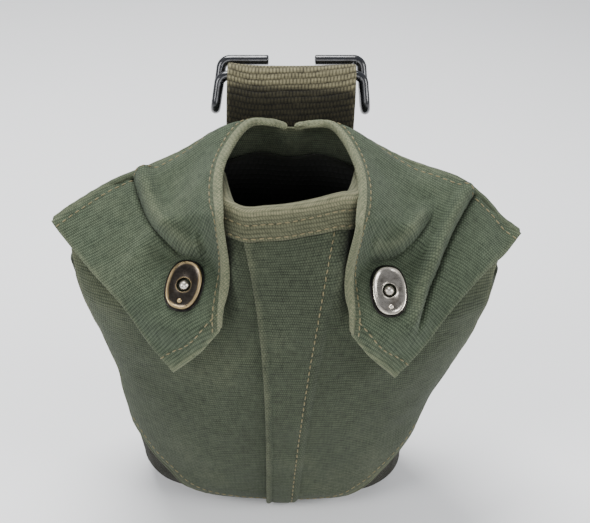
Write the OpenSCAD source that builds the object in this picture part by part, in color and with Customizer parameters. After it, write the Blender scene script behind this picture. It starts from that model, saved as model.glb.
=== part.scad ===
// Canvas canteen cover: an open pouch with two snap-down shoulder flaps,
// a web hanger and a wire belt hook.
// Millimetres. +Z up, the front faces -Y, +X is the viewer's right.
// The origin lies on the flat bottom, straight below the neck's middle.

/* [Pouch] */
// Half width of the pouch at the top of its bottom rounding
foot_half_w = 61; // [55:1:68]
// Widening of each side per mm of height
side_flare = 0.26; // [0.15:0.01:0.35]
// Radius of the soft rounding round the bottom
foot_r = 15; // [10:1:20]
// Deepest reach of the front wall from the pouch's centre plane
front_depth = 36.5; // [32:0.5:42]
// Deepest reach of the back wall from the pouch's centre plane
back_depth = 31.5; // [26:0.5:36]
// Height of the stitched front lip
lip_z = 151; // [140:1:160]
// Height of the bottom seam at the middle of the front
seam_z = 4; // [2:0.5:10]

/* [Cloth] */
// Thickness of the canvas
canvas = 1.2; // [0.8:0.1:1.6]
// Space left between two sewn layers
ply_gap = 0.25; // [0.2:0.05:0.35]
// Thickness of the inner lining
lining = 1.6; // [1:0.1:2.5]
// Thickness of the edge binding tape
tape = 0.7; // [0.5:0.1:1]
// Depth of the stitched lip band on the front
lip_band = 11; // [8:0.5:14]

/* [Snaps] */
// Radius of the stud's ball
ball_r = 2.1; // [1.8:0.1:2.5]
// Sideways play of the ball in the socket
socket_play = 0.55; // [0.45:0.05:0.8]
// Length of the oval socket plate
plate_len = 20; // [17:0.5:22]
// Width of the oval socket plate
plate_w = 14.4; // [13:0.2:16]

/* [Hanger] */
// Width of the web strap
web_w = 50.8; // [44:0.2:57]
// Thickness of the web strap
web = 2.2; // [1.8:0.1:2.6]
// Radius of the hook's wire
wire_r = 2; // [1.6:0.1:2.4]
// Play between the wire and the fold that holds it
wire_play = 0.4; // [0.3:0.1:0.8]

/* [Hidden] */
$fn = 48;

centre_y = -3;              // centre plane of the pouch
squareness = 2.5;           // exponent of the plan's superellipse
seam_s = 0.94;              // side seams, as a share of the half width
tongue_half_w = 26;         // half width of the upright lip
tongue_s = tongue_half_w / half_w(lip_z);
lean_z = lip_z - 48;               // the front's shoulders lean back from here up
flap_t = 1.3;               // flap canvas, with its turned seam

olive = [0.31, 0.36, 0.28];
sage = [0.36, 0.41, 0.33];
pale = [0.52, 0.54, 0.43];
dark_olive = [0.2, 0.21, 0.16];
felt = [0.24, 0.25, 0.2];
web_brown = [0.33, 0.31, 0.22];
black_iron = [0.06, 0.06, 0.07];
bronze = [0.3, 0.26, 0.2];
nickel = [0.7, 0.7, 0.68];

// ---- Plain maths --------------------------------------------------------

function clamp01(t) = max(0, min(1, t));
function ease(t) = let(c = clamp01(t)) c * c * (3 - 2 * c);
function mix(a, b, t) = a + (b - a) * t;
function unit(p) = p / norm(p);

// Catmull-Rom curve through the points k, for t from 0 to 1
function curve(k, t) =
    let(n = len(k) - 1,
        x = clamp01(t) * n,
        i = min(floor(x), n - 1),
        f = x - i,
        p1 = k[i],
        p2 = k[i + 1],
        p0 = i > 0 ? k[i - 1] : 2 * p1 - p2,
        p3 = i + 2 <= n ? k[i + 2] : 2 * p2 - p1)
    0.5 * (2 * p1 + (p2 - p0) * f + (2 * p0 - 5 * p1 + 4 * p2 - p3) * f * f
        + (3 * p1 - p0 - 3 * p2 + p3) * f * f * f);

// Normal of the grid g at (i, j), and the grid moved along it
function grid_normal(g, i, j) =
    let(n = len(g) - 1,
        m = len(g[0]) - 1,
        a = g[min(i + 1, n)][j] - g[max(i - 1, 0)][j],
        b = g[i][min(j + 1, m)] - g[i][max(j - 1, 0)])
    unit(cross(a, b));
function lift(g, t) = [for (i = [0:len(g) - 1]) [for (j = [0:len(g[0]) - 1])
    g[i][j] + t * grid_normal(g, i, j)]];
function lift_by(g, tt) = [for (i = [0:len(g) - 1]) [for (j = [0:len(g[0]) - 1])
    g[i][j] + tt[i][j] * grid_normal(g, i, j)]];

// A closed solid between an outer grid and an inner grid of the same size
module slab(o, p) {
    n = len(o);
    m = len(o[0]);
    k = n * m;
    function id(i, j) = i * m + j;
    polyhedron(
        points = concat([for (r = o) each r], [for (r = p) each r]),
        faces = concat(
            [for (i = [0:n - 2]) for (j = [0:m - 2])
                for (f = [[id(i, j), id(i, j + 1), id(i + 1, j + 1)],
                          [id(i, j), id(i + 1, j + 1), id(i + 1, j)]]) f],
            [for (i = [0:n - 2]) for (j = [0:m - 2])
                for (f = [[id(i, j), id(i + 1, j), id(i + 1, j + 1)],
                          [id(i, j), id(i + 1, j + 1), id(i, j + 1)]]) f + [k, k, k]],
            [for (i = [0:n - 2])
                for (e = [[id(i, 0), id(i + 1, 0)], [id(i + 1, m - 1), id(i, m - 1)]])
                for (f = [[e[0], e[1], e[1] + k], [e[0], e[1] + k, e[0] + k]]) f],
            [for (j = [0:m - 2])
                for (e = [[id(0, j + 1), id(0, j)], [id(n - 1, j), id(n - 1, j + 1)]])
                for (f = [[e[0], e[1], e[1] + k], [e[0], e[1] + k, e[0] + k]]) f]));
}

// A closed bowl between two grids whose first index runs all the way round
module bowl(o, p, o_mid, p_mid) {
    n = len(o);
    m = len(o[0]);
    k = n * m;
    function id(i, j) = (i % n) * m + j;
    polyhedron(
        points = concat([for (r = o) each r], [for (r = p) each r], [o_mid, p_mid]),
        faces = concat(
            [for (i = [0:n - 1]) for (j = [0:m - 2])
                for (f = [[id(i, j), id(i, j + 1), id(i + 1, j + 1)],
                          [id(i, j), id(i + 1, j + 1), id(i + 1, j)]]) f],
            [for (i = [0:n - 1]) for (j = [0:m - 2])
                for (f = [[id(i, j), id(i + 1, j), id(i + 1, j + 1)],
                          [id(i, j), id(i + 1, j + 1), id(i, j + 1)]]) f + [k, k, k]],
            [for (i = [0:n - 1])
                for (f = [[id(i + 1, m - 1), id(i, m - 1), id(i, m - 1) + k],
                          [id(i + 1, m - 1), id(i, m - 1) + k, id(i + 1, m - 1) + k],
                          [id(i, 0), id(i + 1, 0), 2 * k],
                          [id(i + 1, 0) + k, id(i, 0) + k, 2 * k + 1]]) f]));
}

// ---- Flap frame ---------------------------------------------------------
// The left flap is drawn in a frame on its hinge line: q runs outwards along
// the hinge, p down over the shoulder towards the stud, and h straight off the
// flap. The right flap is its mirror image.

hinge_in = [-24.7, 15, lip_z + 13.3];   // hinge line, near the neck
hinge_out = [-92.2, -6, lip_z - 16.8];  // hinge line, at the outer corner
snap_at = [-38, 3.5 - front_depth, lip_z - 33.2];     // the snap, on the flap's middle surface

hinge_dir = unit(hinge_out - hinge_in);
snap_q = (snap_at - hinge_in) * hinge_dir;
snap_arm = snap_at - hinge_in - snap_q * hinge_dir;
snap_p = norm(snap_arm);
fall_dir = snap_arm / snap_p;
snap_dir = cross(hinge_dir, fall_dir);

function from_flap(c) = hinge_in + c[0] * hinge_dir + c[1] * fall_dir + c[2] * snap_dir;
function to_flap(x) = let(w = x - hinge_in) [w * hinge_dir, w * fall_dir, w * snap_dir];
function snap_reach(c) = norm([c[0] - snap_q, c[1] - snap_p]);

// Edges of the flap as [q, p, h]
root_edge = [[-18.3, 13.5, 1], [-10, 7, 2.2], [3.9, 4.5, 1.7], [19.3, 3.9, 1.5],
    [34.3, 2.1, 1], [49, 0.8, 1], [66, 2.7, 1], [78, 5.1, 1]];
neck_edge = [[-18.3, 13.5, 1], [-15, 12.2, 3], [-7.5, 10.2, 6.5], [3.5, 16.5, 12],
    [14, 30.5, 19.5], [21.3, 47, 22.5], [29.8, 61, 10.5], [39.4, 72, -8]];
side_edge = [[78, 5.1, 1], [76.7, 12, 0.5], [72.5, 29.5, 0], [68.6, 46, -3],
    [66.9, 63.3, -10], [64, 75.4, -15]];
hem_edge = [[39.4, 72, -8], [51.7, 75, -10.5], [64, 75.4, -15]];

function flap_raw(u, w) =
    (1 - w) * curve(root_edge, u) + w * curve(hem_edge, u)
    + (1 - u) * curve(neck_edge, w) + u * curve(side_edge, w)
    - (1 - u) * (1 - w) * root_edge[0] - u * (1 - w) * side_edge[0]
    - (1 - u) * w * hem_edge[0] - u * w * hem_edge[2];
// The canvas lies flat under the socket plate, square to the stud
function flap_at(u, w) =
    let(c = flap_raw(u, w), flat = ease((snap_reach(c) - 12) / 12))
    from_flap([c[0], c[1], c[2] * flat]);
function flap_span(w) = norm(flap_at(0.5, w) - flap_at(0, w)) + norm(flap_at(1, w) - flap_at(0.5, w));

flap_rows = 22;
flap_grid = [for (i = [0:flap_rows]) [for (j = [0:flap_rows])
    flap_at(i / flap_rows, j / flap_rows)]];

// Heights of the snap's layers along its axis, from the flap's middle
flap_top = flap_t / 2;
panel_h = -4.75;                         // outer face of the pouch surface there
panel_top = panel_h + ply_gap + canvas;  // outer face of the front panel

module at_snap(side, tilt = 0) {
    mirror([side > 0 ? 1 : 0, 0, 0])
        translate(snap_at)
            rotate([0, acos(snap_dir[2]), atan2(snap_dir[1], snap_dir[0])])
                rotate([0, 0, tilt])
                    children();
}

// ---- Pouch surface ------------------------------------------------------

function foot_inset(z) =
    z < foot_r ? foot_r * (1 - sqrt(max(0, 1 - pow((foot_r - z) / foot_r, 2)))) : 0;
function half_w(z) = foot_half_w + side_flare * max(0, z - foot_r) - foot_inset(z);
// Height over the belly c; a taller pouch gets a longer straight run there
function past_belly(z, c) = max(0, z - c - lip_z + 151) - max(0, c - z);
function depth_f(z) = front_depth - 0.0018 * pow(past_belly(z, 68), 2) - foot_inset(z);
function depth_b(z) = back_depth - 0.0016 * pow(past_belly(z, 72), 2) - foot_inset(z);
function round_off(s) = pow(max(0, 1 - pow(min(1, abs(s)), squareness)), 1 / squareness);
function shoulder_lean(s, z) =
    let(t = max(0, z - lean_z)) ease((abs(s) - tongue_s + 0.065) / 0.12) * t * t / (t + 5);

// A point of the front wall; s runs from -1 to 1 across it. The wall lies
// flat under the stud.
function front_plain(s, z) =
    [s * half_w(z), centre_y - (depth_f(z) - shoulder_lean(s, z)) * round_off(s), z];
function front_at(s, z, flat_h = panel_h) =
    let(a = front_plain(s, z),
        b = [-abs(a[0]), a[1], a[2]],
        c = to_flap(b),
        w = 1 - ease((snap_reach(c) - 10) / 8),
        e = b + (flat_h - c[2]) * w * snap_dir)
    [s > 0 ? -e[0] : e[0], e[1], e[2]];
function front_top(s) =
    lip_z - 27 * ease((abs(s) - tongue_s) / 0.15) - 8 * ease((abs(s) - 0.42) / 0.5);
function bottom_seam(s) = seam_z + 45 * pow(abs(s), 4);
function back_at(s, z) = [s * half_w(z), centre_y + depth_b(z) * round_off(s), z];

// ---- Body of the pouch --------------------------------------------------

// Front halves: the right one laps over the left one down the middle
function lap_left(w) = -tongue_s * mix(0.315, 0.741, pow(w, 3));
function lap_right(w) = tongue_s * mix(0.407, 0.741, pow(w, 2));
front_rows = round(lip_z / 5.8);

// Columns of one side, closer together where the wall turns
side_cols = concat([for (k = [0.76, 0.833, 0.926, 1.019, 1.111, 1.222, 1.333, 1.481])
    k * tongue_s], [0.44, 0.48, 0.53, 0.6, 0.68, 0.75, 0.82, 0.89]);
function column(s, low = 0, top = 200, flat_h = panel_h) =
    [for (j = [0:front_rows])
        let(z = mix(bottom_seam(s[j]) + low, min(front_top(s[j]), top), j / front_rows))
        front_at(s[j], z, flat_h)];
function fixed(s) = [for (j = [0:front_rows]) s];

module front_panel_left() {
    color(olive)
    difference() {
        n = len(side_cols);
        mids = 5;
        g = [for (s = concat([fixed(-seam_s)], [for (i = [n - 1:-1:0]) fixed(-side_cols[i])],
                [for (i = [1:mids]) [for (j = [0:front_rows])
                    mix(-side_cols[0], lap_right(j / front_rows) - 0.012, i / mids)]]))
            column(s)];
        slab(lift(g, ply_gap + canvas), lift(g, ply_gap));
        stud_hole(-1);
    }
}

module front_panel_right() {
    color(olive)
    difference() {
        // Shares of the way over the lap, down off it, and on to the side seam
        over = [0, 0.25, 0.5, 0.75, 1];
        down = [0.35, 0.7, 1];
        on = [0.04, 0.08, 0.12, 0.17, 0.23, 0.29, 0.35, 0.41, 0.48, 0.57, 0.68, 0.79, 0.9, 1];
        lap_off = 0.045;
        s = concat(
            [for (k = over) [for (j = [0:front_rows])
                mix(lap_left(j / front_rows), lap_right(j / front_rows), k)]],
            [for (k = down) [for (j = [0:front_rows]) lap_right(j / front_rows) + lap_off * k]],
            [for (k = on) [for (j = [0:front_rows])
                mix(lap_right(j / front_rows) + lap_off, seam_s, k)]]);
        g = [for (c = s) column(c)];
        rise = [for (c = s) [for (j = [0:front_rows])
            ply_gap + (canvas + ply_gap)
                * (1 - ease((c[j] - lap_right(j / front_rows)) / lap_off))]];
        slab(lift_by(g, [for (r = rise) [for (t = r) t + canvas]]), lift_by(g, rise));
        stud_hole(1);
    }
}

module stud_hole(side) {
    at_snap(side)
        translate([0, 0, panel_h - 4])
            cylinder(h = 8, r = shank_r + 0.2);
}

// Lip: canvas turned over the top edge of the tongue
module lip_binding() {
    cols = 22;
    reach = tongue_s - 0.02;
    base = [for (i = [0:cols])
        let(s = mix(-reach, reach, i / cols),
            ply = canvas + ply_gap,
            lap = ease((s - lap_left(1) + 0.185 * tongue_s) / (0.13 * tongue_s)),
            out = ply * (1 + lap),
            z = front_top(s))
        [[s, z - lip_band, out, 0], [s, z - lip_band * 0.6, out, 0],
            [s, z - lip_band * 0.3, out, 0], [s, z + 0.2, out, 0],
            [s, z + 0.5, out * 0.5, 1], [s, z + 0.2, 0, 2],
            [s, z - lip_band * 0.35, 0, 2], [s, z - lip_band * 0.7, 0, 2]]];
    function lip_pt(c, gap) =
        let(p = front_at(c[0], c[1]),
            e = unit(cross(front_at(c[0] + 0.01, c[1]) - p, front_at(c[0], c[1] + 0.5) - p)))
        c[3] == 0 ? p + (c[2] + gap) * e
        : c[3] == 1 ? p + c[2] * e + [0, 0, gap]
        : p - gap * e;
    color(pale)
        slab([for (r = base) [for (c = r) lip_pt(c, ply_gap + 1)]],
            [for (r = base) [for (c = r) lip_pt(c, ply_gap + 0.1)]]);
}

// Bottom and sides: one band of darker canvas
side_top = lip_z - 38;
function band_top(phi) =
    let(s = pow(abs(cos(phi)), 2 / squareness),
        side = ease((s - 0.885) / 0.035))
    mix(bottom_seam(min(s, seam_s)) + 6, side_top, side);
function band_pt(phi, z, t) =
    let(a = z < foot_r ? asin((foot_r - z) / foot_r) : 0,
        c = cos(phi),
        n = sin(phi),
        s = sign(c) * pow(abs(c), 2 / squareness),
        d = n < 0 ? depth_f(z) - shoulder_lean(s, z) : depth_b(z))
    [s * (half_w(z) + t * cos(a)),
        centre_y + sign(n) * pow(abs(n), 2 / squareness) * (d + t * cos(a)),
        z - t * sin(a)];
band_cols = 72;
band_steps = [0, 0.015, 0.04, 0.08, 0.13, 0.22, 0.35, 0.5, 0.65, 0.8, 0.9, 1];
function band_grid(t) = [for (i = [0:band_cols - 1])
    let(phi = 360 * i / band_cols, rim = band_pt(phi, 0, t), mid = [0, centre_y, rim[2]])
    concat([for (f = [0.35, 0.75]) mix(mid, rim, f)],
        [for (w = band_steps) band_pt(phi, w * band_top(phi), t)])];

module gusset_band() {
    color(dark_olive)
        bowl(band_grid(0), band_grid(-canvas), [0, centre_y, 0], [0, centre_y, canvas]);
}

// Back: its top edge follows the flaps' hinges from just beneath
back_cols = 11;
back_rows = round(lip_z / 7.55);
root_share = 0.9;
function back_edge(k) =
    let(e = from_flap(curve(root_edge, abs(k) * root_share)) - 2.8 * snap_dir)
    [k > 0 ? -e[0] : e[0], e[1], e[2]];
function back_grid(w_lo, w_hi) = [for (i = [0:2 * back_cols]) [for (j = [0:back_rows])
    let(k = 1 - i / back_cols,
        e = back_edge(k),
        s = max(-seam_s, min(seam_s, e[0] / half_w(e[2]))),
        z = mix(bottom_seam(s), e[2], mix(w_lo, w_hi, pow(j / back_rows, 1.5))),
        p = back_at(s, z),
        lean = ease((z - e[2] + lean_run(abs(k))) / lean_run(abs(k))))
    [p[0], mix(p[1], e[1], lean), z]]];
// Height over which the back's edge leans forward, less towards the sides
function lean_run(k) = mix(30, 15, ease((k - 0.6) / 0.3));

module back_panel() {
    color(olive) {
        g = back_grid(0, 1);
        slab(lift(g, ply_gap + canvas), lift(g, ply_gap));
    }
}

lining_top = lip_z - 35;
module lining_front() {
    color(felt) {
        n = len(side_cols);
        g = [for (s = concat([for (i = [n - 1:-1:0]) -side_cols[i]], [-0.12, 0, 0.12], side_cols))
            column(fixed(s), 6, lining_top, panel_h - 1.4)];
        slab(lift(g, -canvas - 2 * ply_gap), lift(g, -canvas - 2 * ply_gap - lining));
    }
}

module lining_back() {
    color(felt) {
        g = back_grid(0.06, 0.95);
        slab(lift(g, -canvas - 2 * ply_gap), lift(g, -canvas - 2 * ply_gap - lining));
    }
}

// ---- Flaps --------------------------------------------------------------

module flap(side) {
    color(sage)
    difference() {
        mirror([side > 0 ? 1 : 0, 0, 0])
            slab(lift(flap_grid, flap_top), lift(flap_grid, -flap_top));
        at_snap(side)
            translate([0, 0, -4])
                cylinder(h = 8, r = barrel_r + 0.15);
    }
}
module flap_left() flap(-1);
module flap_right() flap(1);

// Tape folded round the flap's neck edge
module flap_binding(side) {
    bind_w = 5;
    rows = [for (i = [1:flap_rows]) i / flap_rows - 0.01];
    function flap_normal(u, w) =
        unit(cross(flap_at(u + 0.01, w) - flap_at(u, w), flap_at(u, w + 0.01) - flap_at(u, w)));
    // Points round the edge: [share of the width, out past the edge, side]
    path = [[1, 0, 1], [0.5, 0, 1], [0, 0, 1], [0, 0.7, 0.75], [0, 1, 0],
        [0, 0.7, -0.75], [0, 0, -1], [0.5, 0, -1], [1, 0, -1]];
    function tape_pt(w, c, t) =
        let(u = c[0] * bind_w / flap_span(w),
            p = flap_at(u, w),
            inward = unit(flap_at(0.03, w) - flap_at(0, w)))
        p + t * c[2] * flap_normal(u, w) - (t - 0.5) * c[1] * inward;
    color(pale)
        mirror([side > 0 ? 1 : 0, 0, 0])
            slab([for (w = rows) [for (c = path) tape_pt(w, c, flap_top + 0.45 + tape)]],
                [for (w = rows) [for (c = path) tape_pt(w, c, flap_top + 0.45)]]);
}
module flap_binding_left() flap_binding(-1);
module flap_binding_right() flap_binding(1);

// ---- Snaps --------------------------------------------------------------

shank_r = 1.7;
barrel_r = 4.4;
barrel_in = ball_r + socket_play;
cap_h = 1.9;
plate_top = flap_top + 0.1 + cap_h;
barrel_end = -flap_top - 1.25;

// Oval plate: a disc at each end and a bar between them
module oval(l, w, h) {
    for (x = [-1, 1])
        translate([x * (l - w) / 2, 0, 0])
            cylinder(h = h, r = w / 2);
    translate([-(l - w) / 2, -w / 2, 0])
        cube([l - w, w, h]);
}

module socket_cap(side, tilt) {
    color(side < 0 ? bronze : nickel)
    at_snap(side, tilt)
        difference() {
            union() {
                translate([0, 0, flap_top + 0.1])
                    oval(plate_len, plate_w, 0.7);
                translate([0, 0, flap_top + 0.1])
                    oval(plate_len - 3, plate_w - 3, cap_h);
                translate([plate_len / 2 - 3.4, 0, flap_top + 0.1 + cap_h - 0.2])
                    cylinder(h = 0.6, r = 0.9);
                translate([0, 0, barrel_end])
                    cylinder(h = plate_top - barrel_end - 0.1, r = barrel_r);
                translate([0, 0, barrel_end])
                    cylinder(h = 0.4, r = barrel_r + 0.7);
            }
            translate([0, 0, barrel_end - 1])
                cylinder(h = 8, r = barrel_in);
            // Seat of the spring
            translate([0, 0, flap_top + 0.5])
                cylinder(h = 0.8, r = barrel_r - 0.6);
        }
}
module socket_cap_left() socket_cap(-1, -5);
module socket_cap_right() socket_cap(1, 2);

// Split ring that grips the stud
module socket_spring(side, tilt) {
    color(nickel)
    at_snap(side, tilt)
        translate([0, 0, flap_top + 0.6])
            difference() {
                cylinder(h = 0.6, r = barrel_r - 0.75);
                translate([0, 0, -1])
                    cylinder(h = 3, r = barrel_in);
                translate([-barrel_r, -0.6, -1])
                    cube([barrel_r, 1.2, 3]);
            }
}
module socket_spring_left() socket_spring(-1, -5);
module socket_spring_right() socket_spring(1, 2);

// Washer that clamps the flap from beneath
module socket_back(side, tilt) {
    color(bronze)
    at_snap(side, tilt)
        translate([0, 0, -flap_top - 0.75])
            difference() {
                oval(plate_len - 3, plate_w - 2, 0.65);
                translate([0, 0, -1])
                    cylinder(h = 3, r = barrel_r + 0.05);
            }
}
module socket_back_left() socket_back(-1, -5);
module socket_back_right() socket_back(1, 2);

// Stud riveted through the front panel
stud_top = plate_top + 0.5;
module stud(side) {
    color(nickel)
    at_snap(side) {
        translate([0, 0, panel_top + 0.05])
            cylinder(h = 0.6, r = 4.6);
        translate([0, 0, panel_h - 1.2])
            cylinder(h = stud_top - ball_r - panel_h + 1.2, r = 1.6);
        translate([0, 0, stud_top - ball_r])
            sphere(r = ball_r);
        translate([0, 0, panel_h - 1.5])
            cylinder(h = 0.5, r = 2.6);
    }
}
module stud_left() stud(-1);
module stud_right() stud(1);

module stud_washer(side) {
    color(bronze)
    at_snap(side)
        translate([0, 0, panel_h - 0.9])
            difference() {
                cylinder(h = 0.6, r = 4.6);
                translate([0, 0, -1])
                    cylinder(h = 3, r = 1.65);
            }
}
module stud_washer_left() stud_washer(-1);
module stud_washer_right() stud_washer(1);

// ---- Hanger -------------------------------------------------------------

stem_t = 2 * web + 0.4;            // two plies of web, sewn together
bend_at = [21.8, lip_z + 5];             // [y, z] where the hanger bends on the pouch
knee_at = [23.6, lip_z + 19.1];             // the strap turns back here
eye_at = [30, lip_z + 26.6];              // the fold that holds the wire
eye_r = wire_r + wire_play + web;

// Slab of the strap between two [y, z] points, thickness t
module strap_run(a, b, t) {
    translate(a)
        rotate(atan2(b[1] - a[1], b[0] - a[0]))
            translate([0, -t / 2])
                square([norm(b - a), t]);
}

// The strap's outline is drawn with y to the right and z up, then stood up
module across(w) {
    rotate([90, 0, 90])
        translate([0, 0, -w / 2])
            linear_extrude(height = w)
                children();
}

module hanger_loop() {
    color(web_brown)
    across(web_w)
        difference() {
            union() {
                translate(bend_at)
                    circle(r = stem_t / 2);
                strap_run(bend_at, knee_at, stem_t);
                translate(knee_at)
                    circle(r = stem_t / 2);
                strap_run(knee_at, eye_at, stem_t);
                translate(eye_at)
                    circle(r = eye_r);
            }
            translate(eye_at)
                circle(r = wire_r + wire_play);
        }
}

// The strap's lower end, sewn flat on the back
tail_top = bend_at[1] - stem_t / 2 - 0.5;
tail_low = lip_z - 43;
module hanger_tail() {
    cols = 8;
    rows = 8;
    g = [for (i = [0:cols]) [for (j = [0:rows])
        let(x = mix(web_w / 2, -web_w / 2, i / cols),
            z = mix(tail_low, tail_top, j / rows))
        back_skin(x, z)]];
    color(web_brown)
        slab(lift(g, 2 * ply_gap + canvas + web), lift(g, 2 * ply_gap + canvas));
}
// The back surface, with its lean, at a given x and height
function edge_share(x, lo = 0, hi = 1, n = 12) =
    n == 0 ? lo
    : let(mid = (lo + hi) / 2)
        abs(back_edge(mid)[0]) < x ? edge_share(x, mid, hi, n - 1)
        : edge_share(x, lo, mid, n - 1);
function back_skin(x, z) =
    let(k = edge_share(abs(x)),
        e = back_edge(k),
        p = back_at(x / half_w(z), z))
    [p[0], mix(p[1], e[1], ease((z - e[2] + lean_run(k)) / lean_run(k))), z];

// Double wire hook: a bar through the fold, then at each end down, round and
// up again, with tips that turn in to face each other. It is drawn on the bar,
// with y across the legs and z up along them, then leant back.
leg_x = web_w / 2 + wire_r + 1.2;
corner_r = 3;
hook_r = 3.4;                      // radius of the bend at the foot of a leg
leg_down = 10;
leg_up = 6.1;
hook_lean = 20;
tip_gap = 19;

module wire(from, length, turn = [0, 0, 0]) {
    translate(from)
        rotate(turn)
            cylinder(h = length, r = wire_r);
}
module wire_bend(at, turn, r, angle) {
    translate(at)
        rotate(turn)
            rotate_extrude(angle = angle)
                translate([r, 0])
                    circle(r = wire_r);
}

module hook_side() {
    inner_x = leg_x - corner_r;
    wire_bend([inner_x, 0, -corner_r], [90, 0, 0], corner_r, 90);
    wire([leg_x, 0, -leg_down], leg_down - corner_r);
    wire_bend([leg_x, hook_r, -leg_down], [-90, 0, 90], hook_r, 180);
    wire([leg_x, 2 * hook_r, -leg_down], leg_down + leg_up - corner_r);
    wire_bend([inner_x, 2 * hook_r, leg_up - corner_r], [90, 0, 0], corner_r, 90);
    wire([tip_gap / 2, 2 * hook_r, leg_up], inner_x - tip_gap / 2, [0, 90, 0]);
}

module belt_hook() {
    color(black_iron)
    translate([0, eye_at[0], eye_at[1]])
        rotate([-hook_lean, 0, 0]) {
            wire([corner_r - leg_x, 0, 0], 2 * (leg_x - corner_r), [0, 90, 0]);
            hook_side();
            mirror([1, 0, 0])
                hook_side();
        }
}

front_panel_left();
front_panel_right();
lip_binding();
gusset_band();
back_panel();
lining_front();
lining_back();
flap_left();
flap_right();
flap_binding_left();
flap_binding_right();
hanger_tail();
hanger_loop();
belt_hook();
socket_cap_left();
socket_cap_right();
socket_spring_left();
socket_spring_right();
socket_back_left();
socket_back_right();
stud_left();
stud_right();
stud_washer_left();
stud_washer_right();
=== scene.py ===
# %% [markdown]
# # A canvas canteen cover
# The real object is an open pouch of olive cotton duck with two shoulder flaps that snap down
# over the canteen, a folded web hanger at the back and a wire belt hook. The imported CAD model
# gives the fixed frame and the moving bodies. This lesson builds the looks around it, piece by
# piece: cloth as thin slabs that follow a surface, stitches with Geometry Nodes, metal as lofts.

# %% Start from the fixed frame
import math
import bpy
import numpy as np
from mathutils import Matrix, Vector


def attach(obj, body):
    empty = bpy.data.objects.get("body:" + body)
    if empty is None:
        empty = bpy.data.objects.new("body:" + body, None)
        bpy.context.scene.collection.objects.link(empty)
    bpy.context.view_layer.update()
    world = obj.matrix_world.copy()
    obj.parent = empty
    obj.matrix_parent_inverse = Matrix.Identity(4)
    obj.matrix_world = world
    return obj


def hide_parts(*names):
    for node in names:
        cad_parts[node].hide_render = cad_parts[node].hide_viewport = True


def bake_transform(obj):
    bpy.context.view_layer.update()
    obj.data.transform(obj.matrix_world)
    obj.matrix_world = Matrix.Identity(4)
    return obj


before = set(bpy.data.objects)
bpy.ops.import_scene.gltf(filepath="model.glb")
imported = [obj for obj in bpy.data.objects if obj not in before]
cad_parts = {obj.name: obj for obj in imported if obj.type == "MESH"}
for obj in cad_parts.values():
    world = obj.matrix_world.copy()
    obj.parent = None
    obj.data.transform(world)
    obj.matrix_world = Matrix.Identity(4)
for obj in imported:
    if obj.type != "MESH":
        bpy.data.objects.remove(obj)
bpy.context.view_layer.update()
MM = 0.001

# %% [markdown]
# ## Camera
# The camera comes first, because every later choice is judged through it. It stands in front,
# looks down by about a third of a right angle, and leans a little, as a camera held by hand does.

# %% Camera
RISE, YAW, ROLL = math.radians(32), math.radians(-1.9), math.radians(2.6)
DISTANCE = 0.38
TARGET = Vector((0.0037, 0, 0.1094))

back = Vector((math.sin(YAW) * math.cos(RISE), -math.cos(YAW) * math.cos(RISE), math.sin(RISE)))
level = Vector((math.cos(YAW), math.sin(YAW), 0))
up = back.cross(level)
right = math.cos(ROLL) * level + math.sin(ROLL) * up
top = -math.sin(ROLL) * level + math.cos(ROLL) * up
camera = bpy.data.objects.new("camera", bpy.data.cameras.new("camera"))
bpy.context.scene.collection.objects.link(camera)
camera.data.sensor_width = 36
camera.data.lens = 56.75
camera.matrix_world = (Matrix.Translation(TARGET + DISTANCE * back)
                       @ Matrix((right, top, back)).transposed().to_4x4())
bpy.context.scene.camera = camera
print("camera at", [round(c, 3) for c in camera.matrix_world.translation])

# %% [markdown]
# ## Light and floor
# A pale floor and big soft lights, as in a light tent: one broad lamp overhead, one from each
# side, and a pale sky that fills the shadows.

# %% Light and floor
def soft_lamp(name, place, size, power, aim=(0, 0, 0.09)):
    lamp = bpy.data.objects.new(name, bpy.data.lights.new(name, "AREA"))
    lamp.data.size = size
    lamp.data.energy = power
    lamp.location = place
    lamp.rotation_mode = "QUATERNION"
    lamp.rotation_quaternion = (Vector(place) - Vector(aim)).to_track_quat("Z", "Y")
    bpy.context.scene.collection.objects.link(lamp)
    return lamp


soft_lamp("lamp_top", (-0.15, 0.25, 1.0), 0.5, 15)
soft_lamp("lamp_left", (-0.8, -0.5, 0.6), 0.4, 6)
soft_lamp("lamp_right", (0.85, -0.35, 0.5), 0.4, 5.6)
soft_lamp("lamp_front", (0.05, -1.1, 0.45), 0.5, 3.2)
world = bpy.data.worlds.new("studio")
world.use_nodes = True
world.node_tree.nodes["Background"].inputs["Color"].default_value = (0.93, 0.95, 1, 1)
world.node_tree.nodes["Background"].inputs["Strength"].default_value = 0.55
bpy.context.scene.world = world
floor_mesh = bpy.data.meshes.new("floor")
floor_mesh.from_pydata([(-6, -6, 0), (6, -6, 0), (6, 6, 0), (-6, 6, 0)], [], [(0, 1, 2, 3)])
floor = bpy.data.objects.new("floor", floor_mesh)
bpy.context.scene.collection.objects.link(floor)

# %% [markdown]
# ## Plain maths for cloth
# Cloth pieces are drawn as surfaces over two numbers, in millimetres. These helpers ease between
# values, run smooth curves through a few chosen points, and make the uneven waves of soft cloth.

# %% Plain maths
def ease(t):
    t = np.clip(t, 0, 1)
    return t * t * (3 - 2 * t)


def mix(a, b, t):
    return a + (b - a) * t


def bump_at(d, width):
    return np.exp(-(d / width) ** 2)


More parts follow.
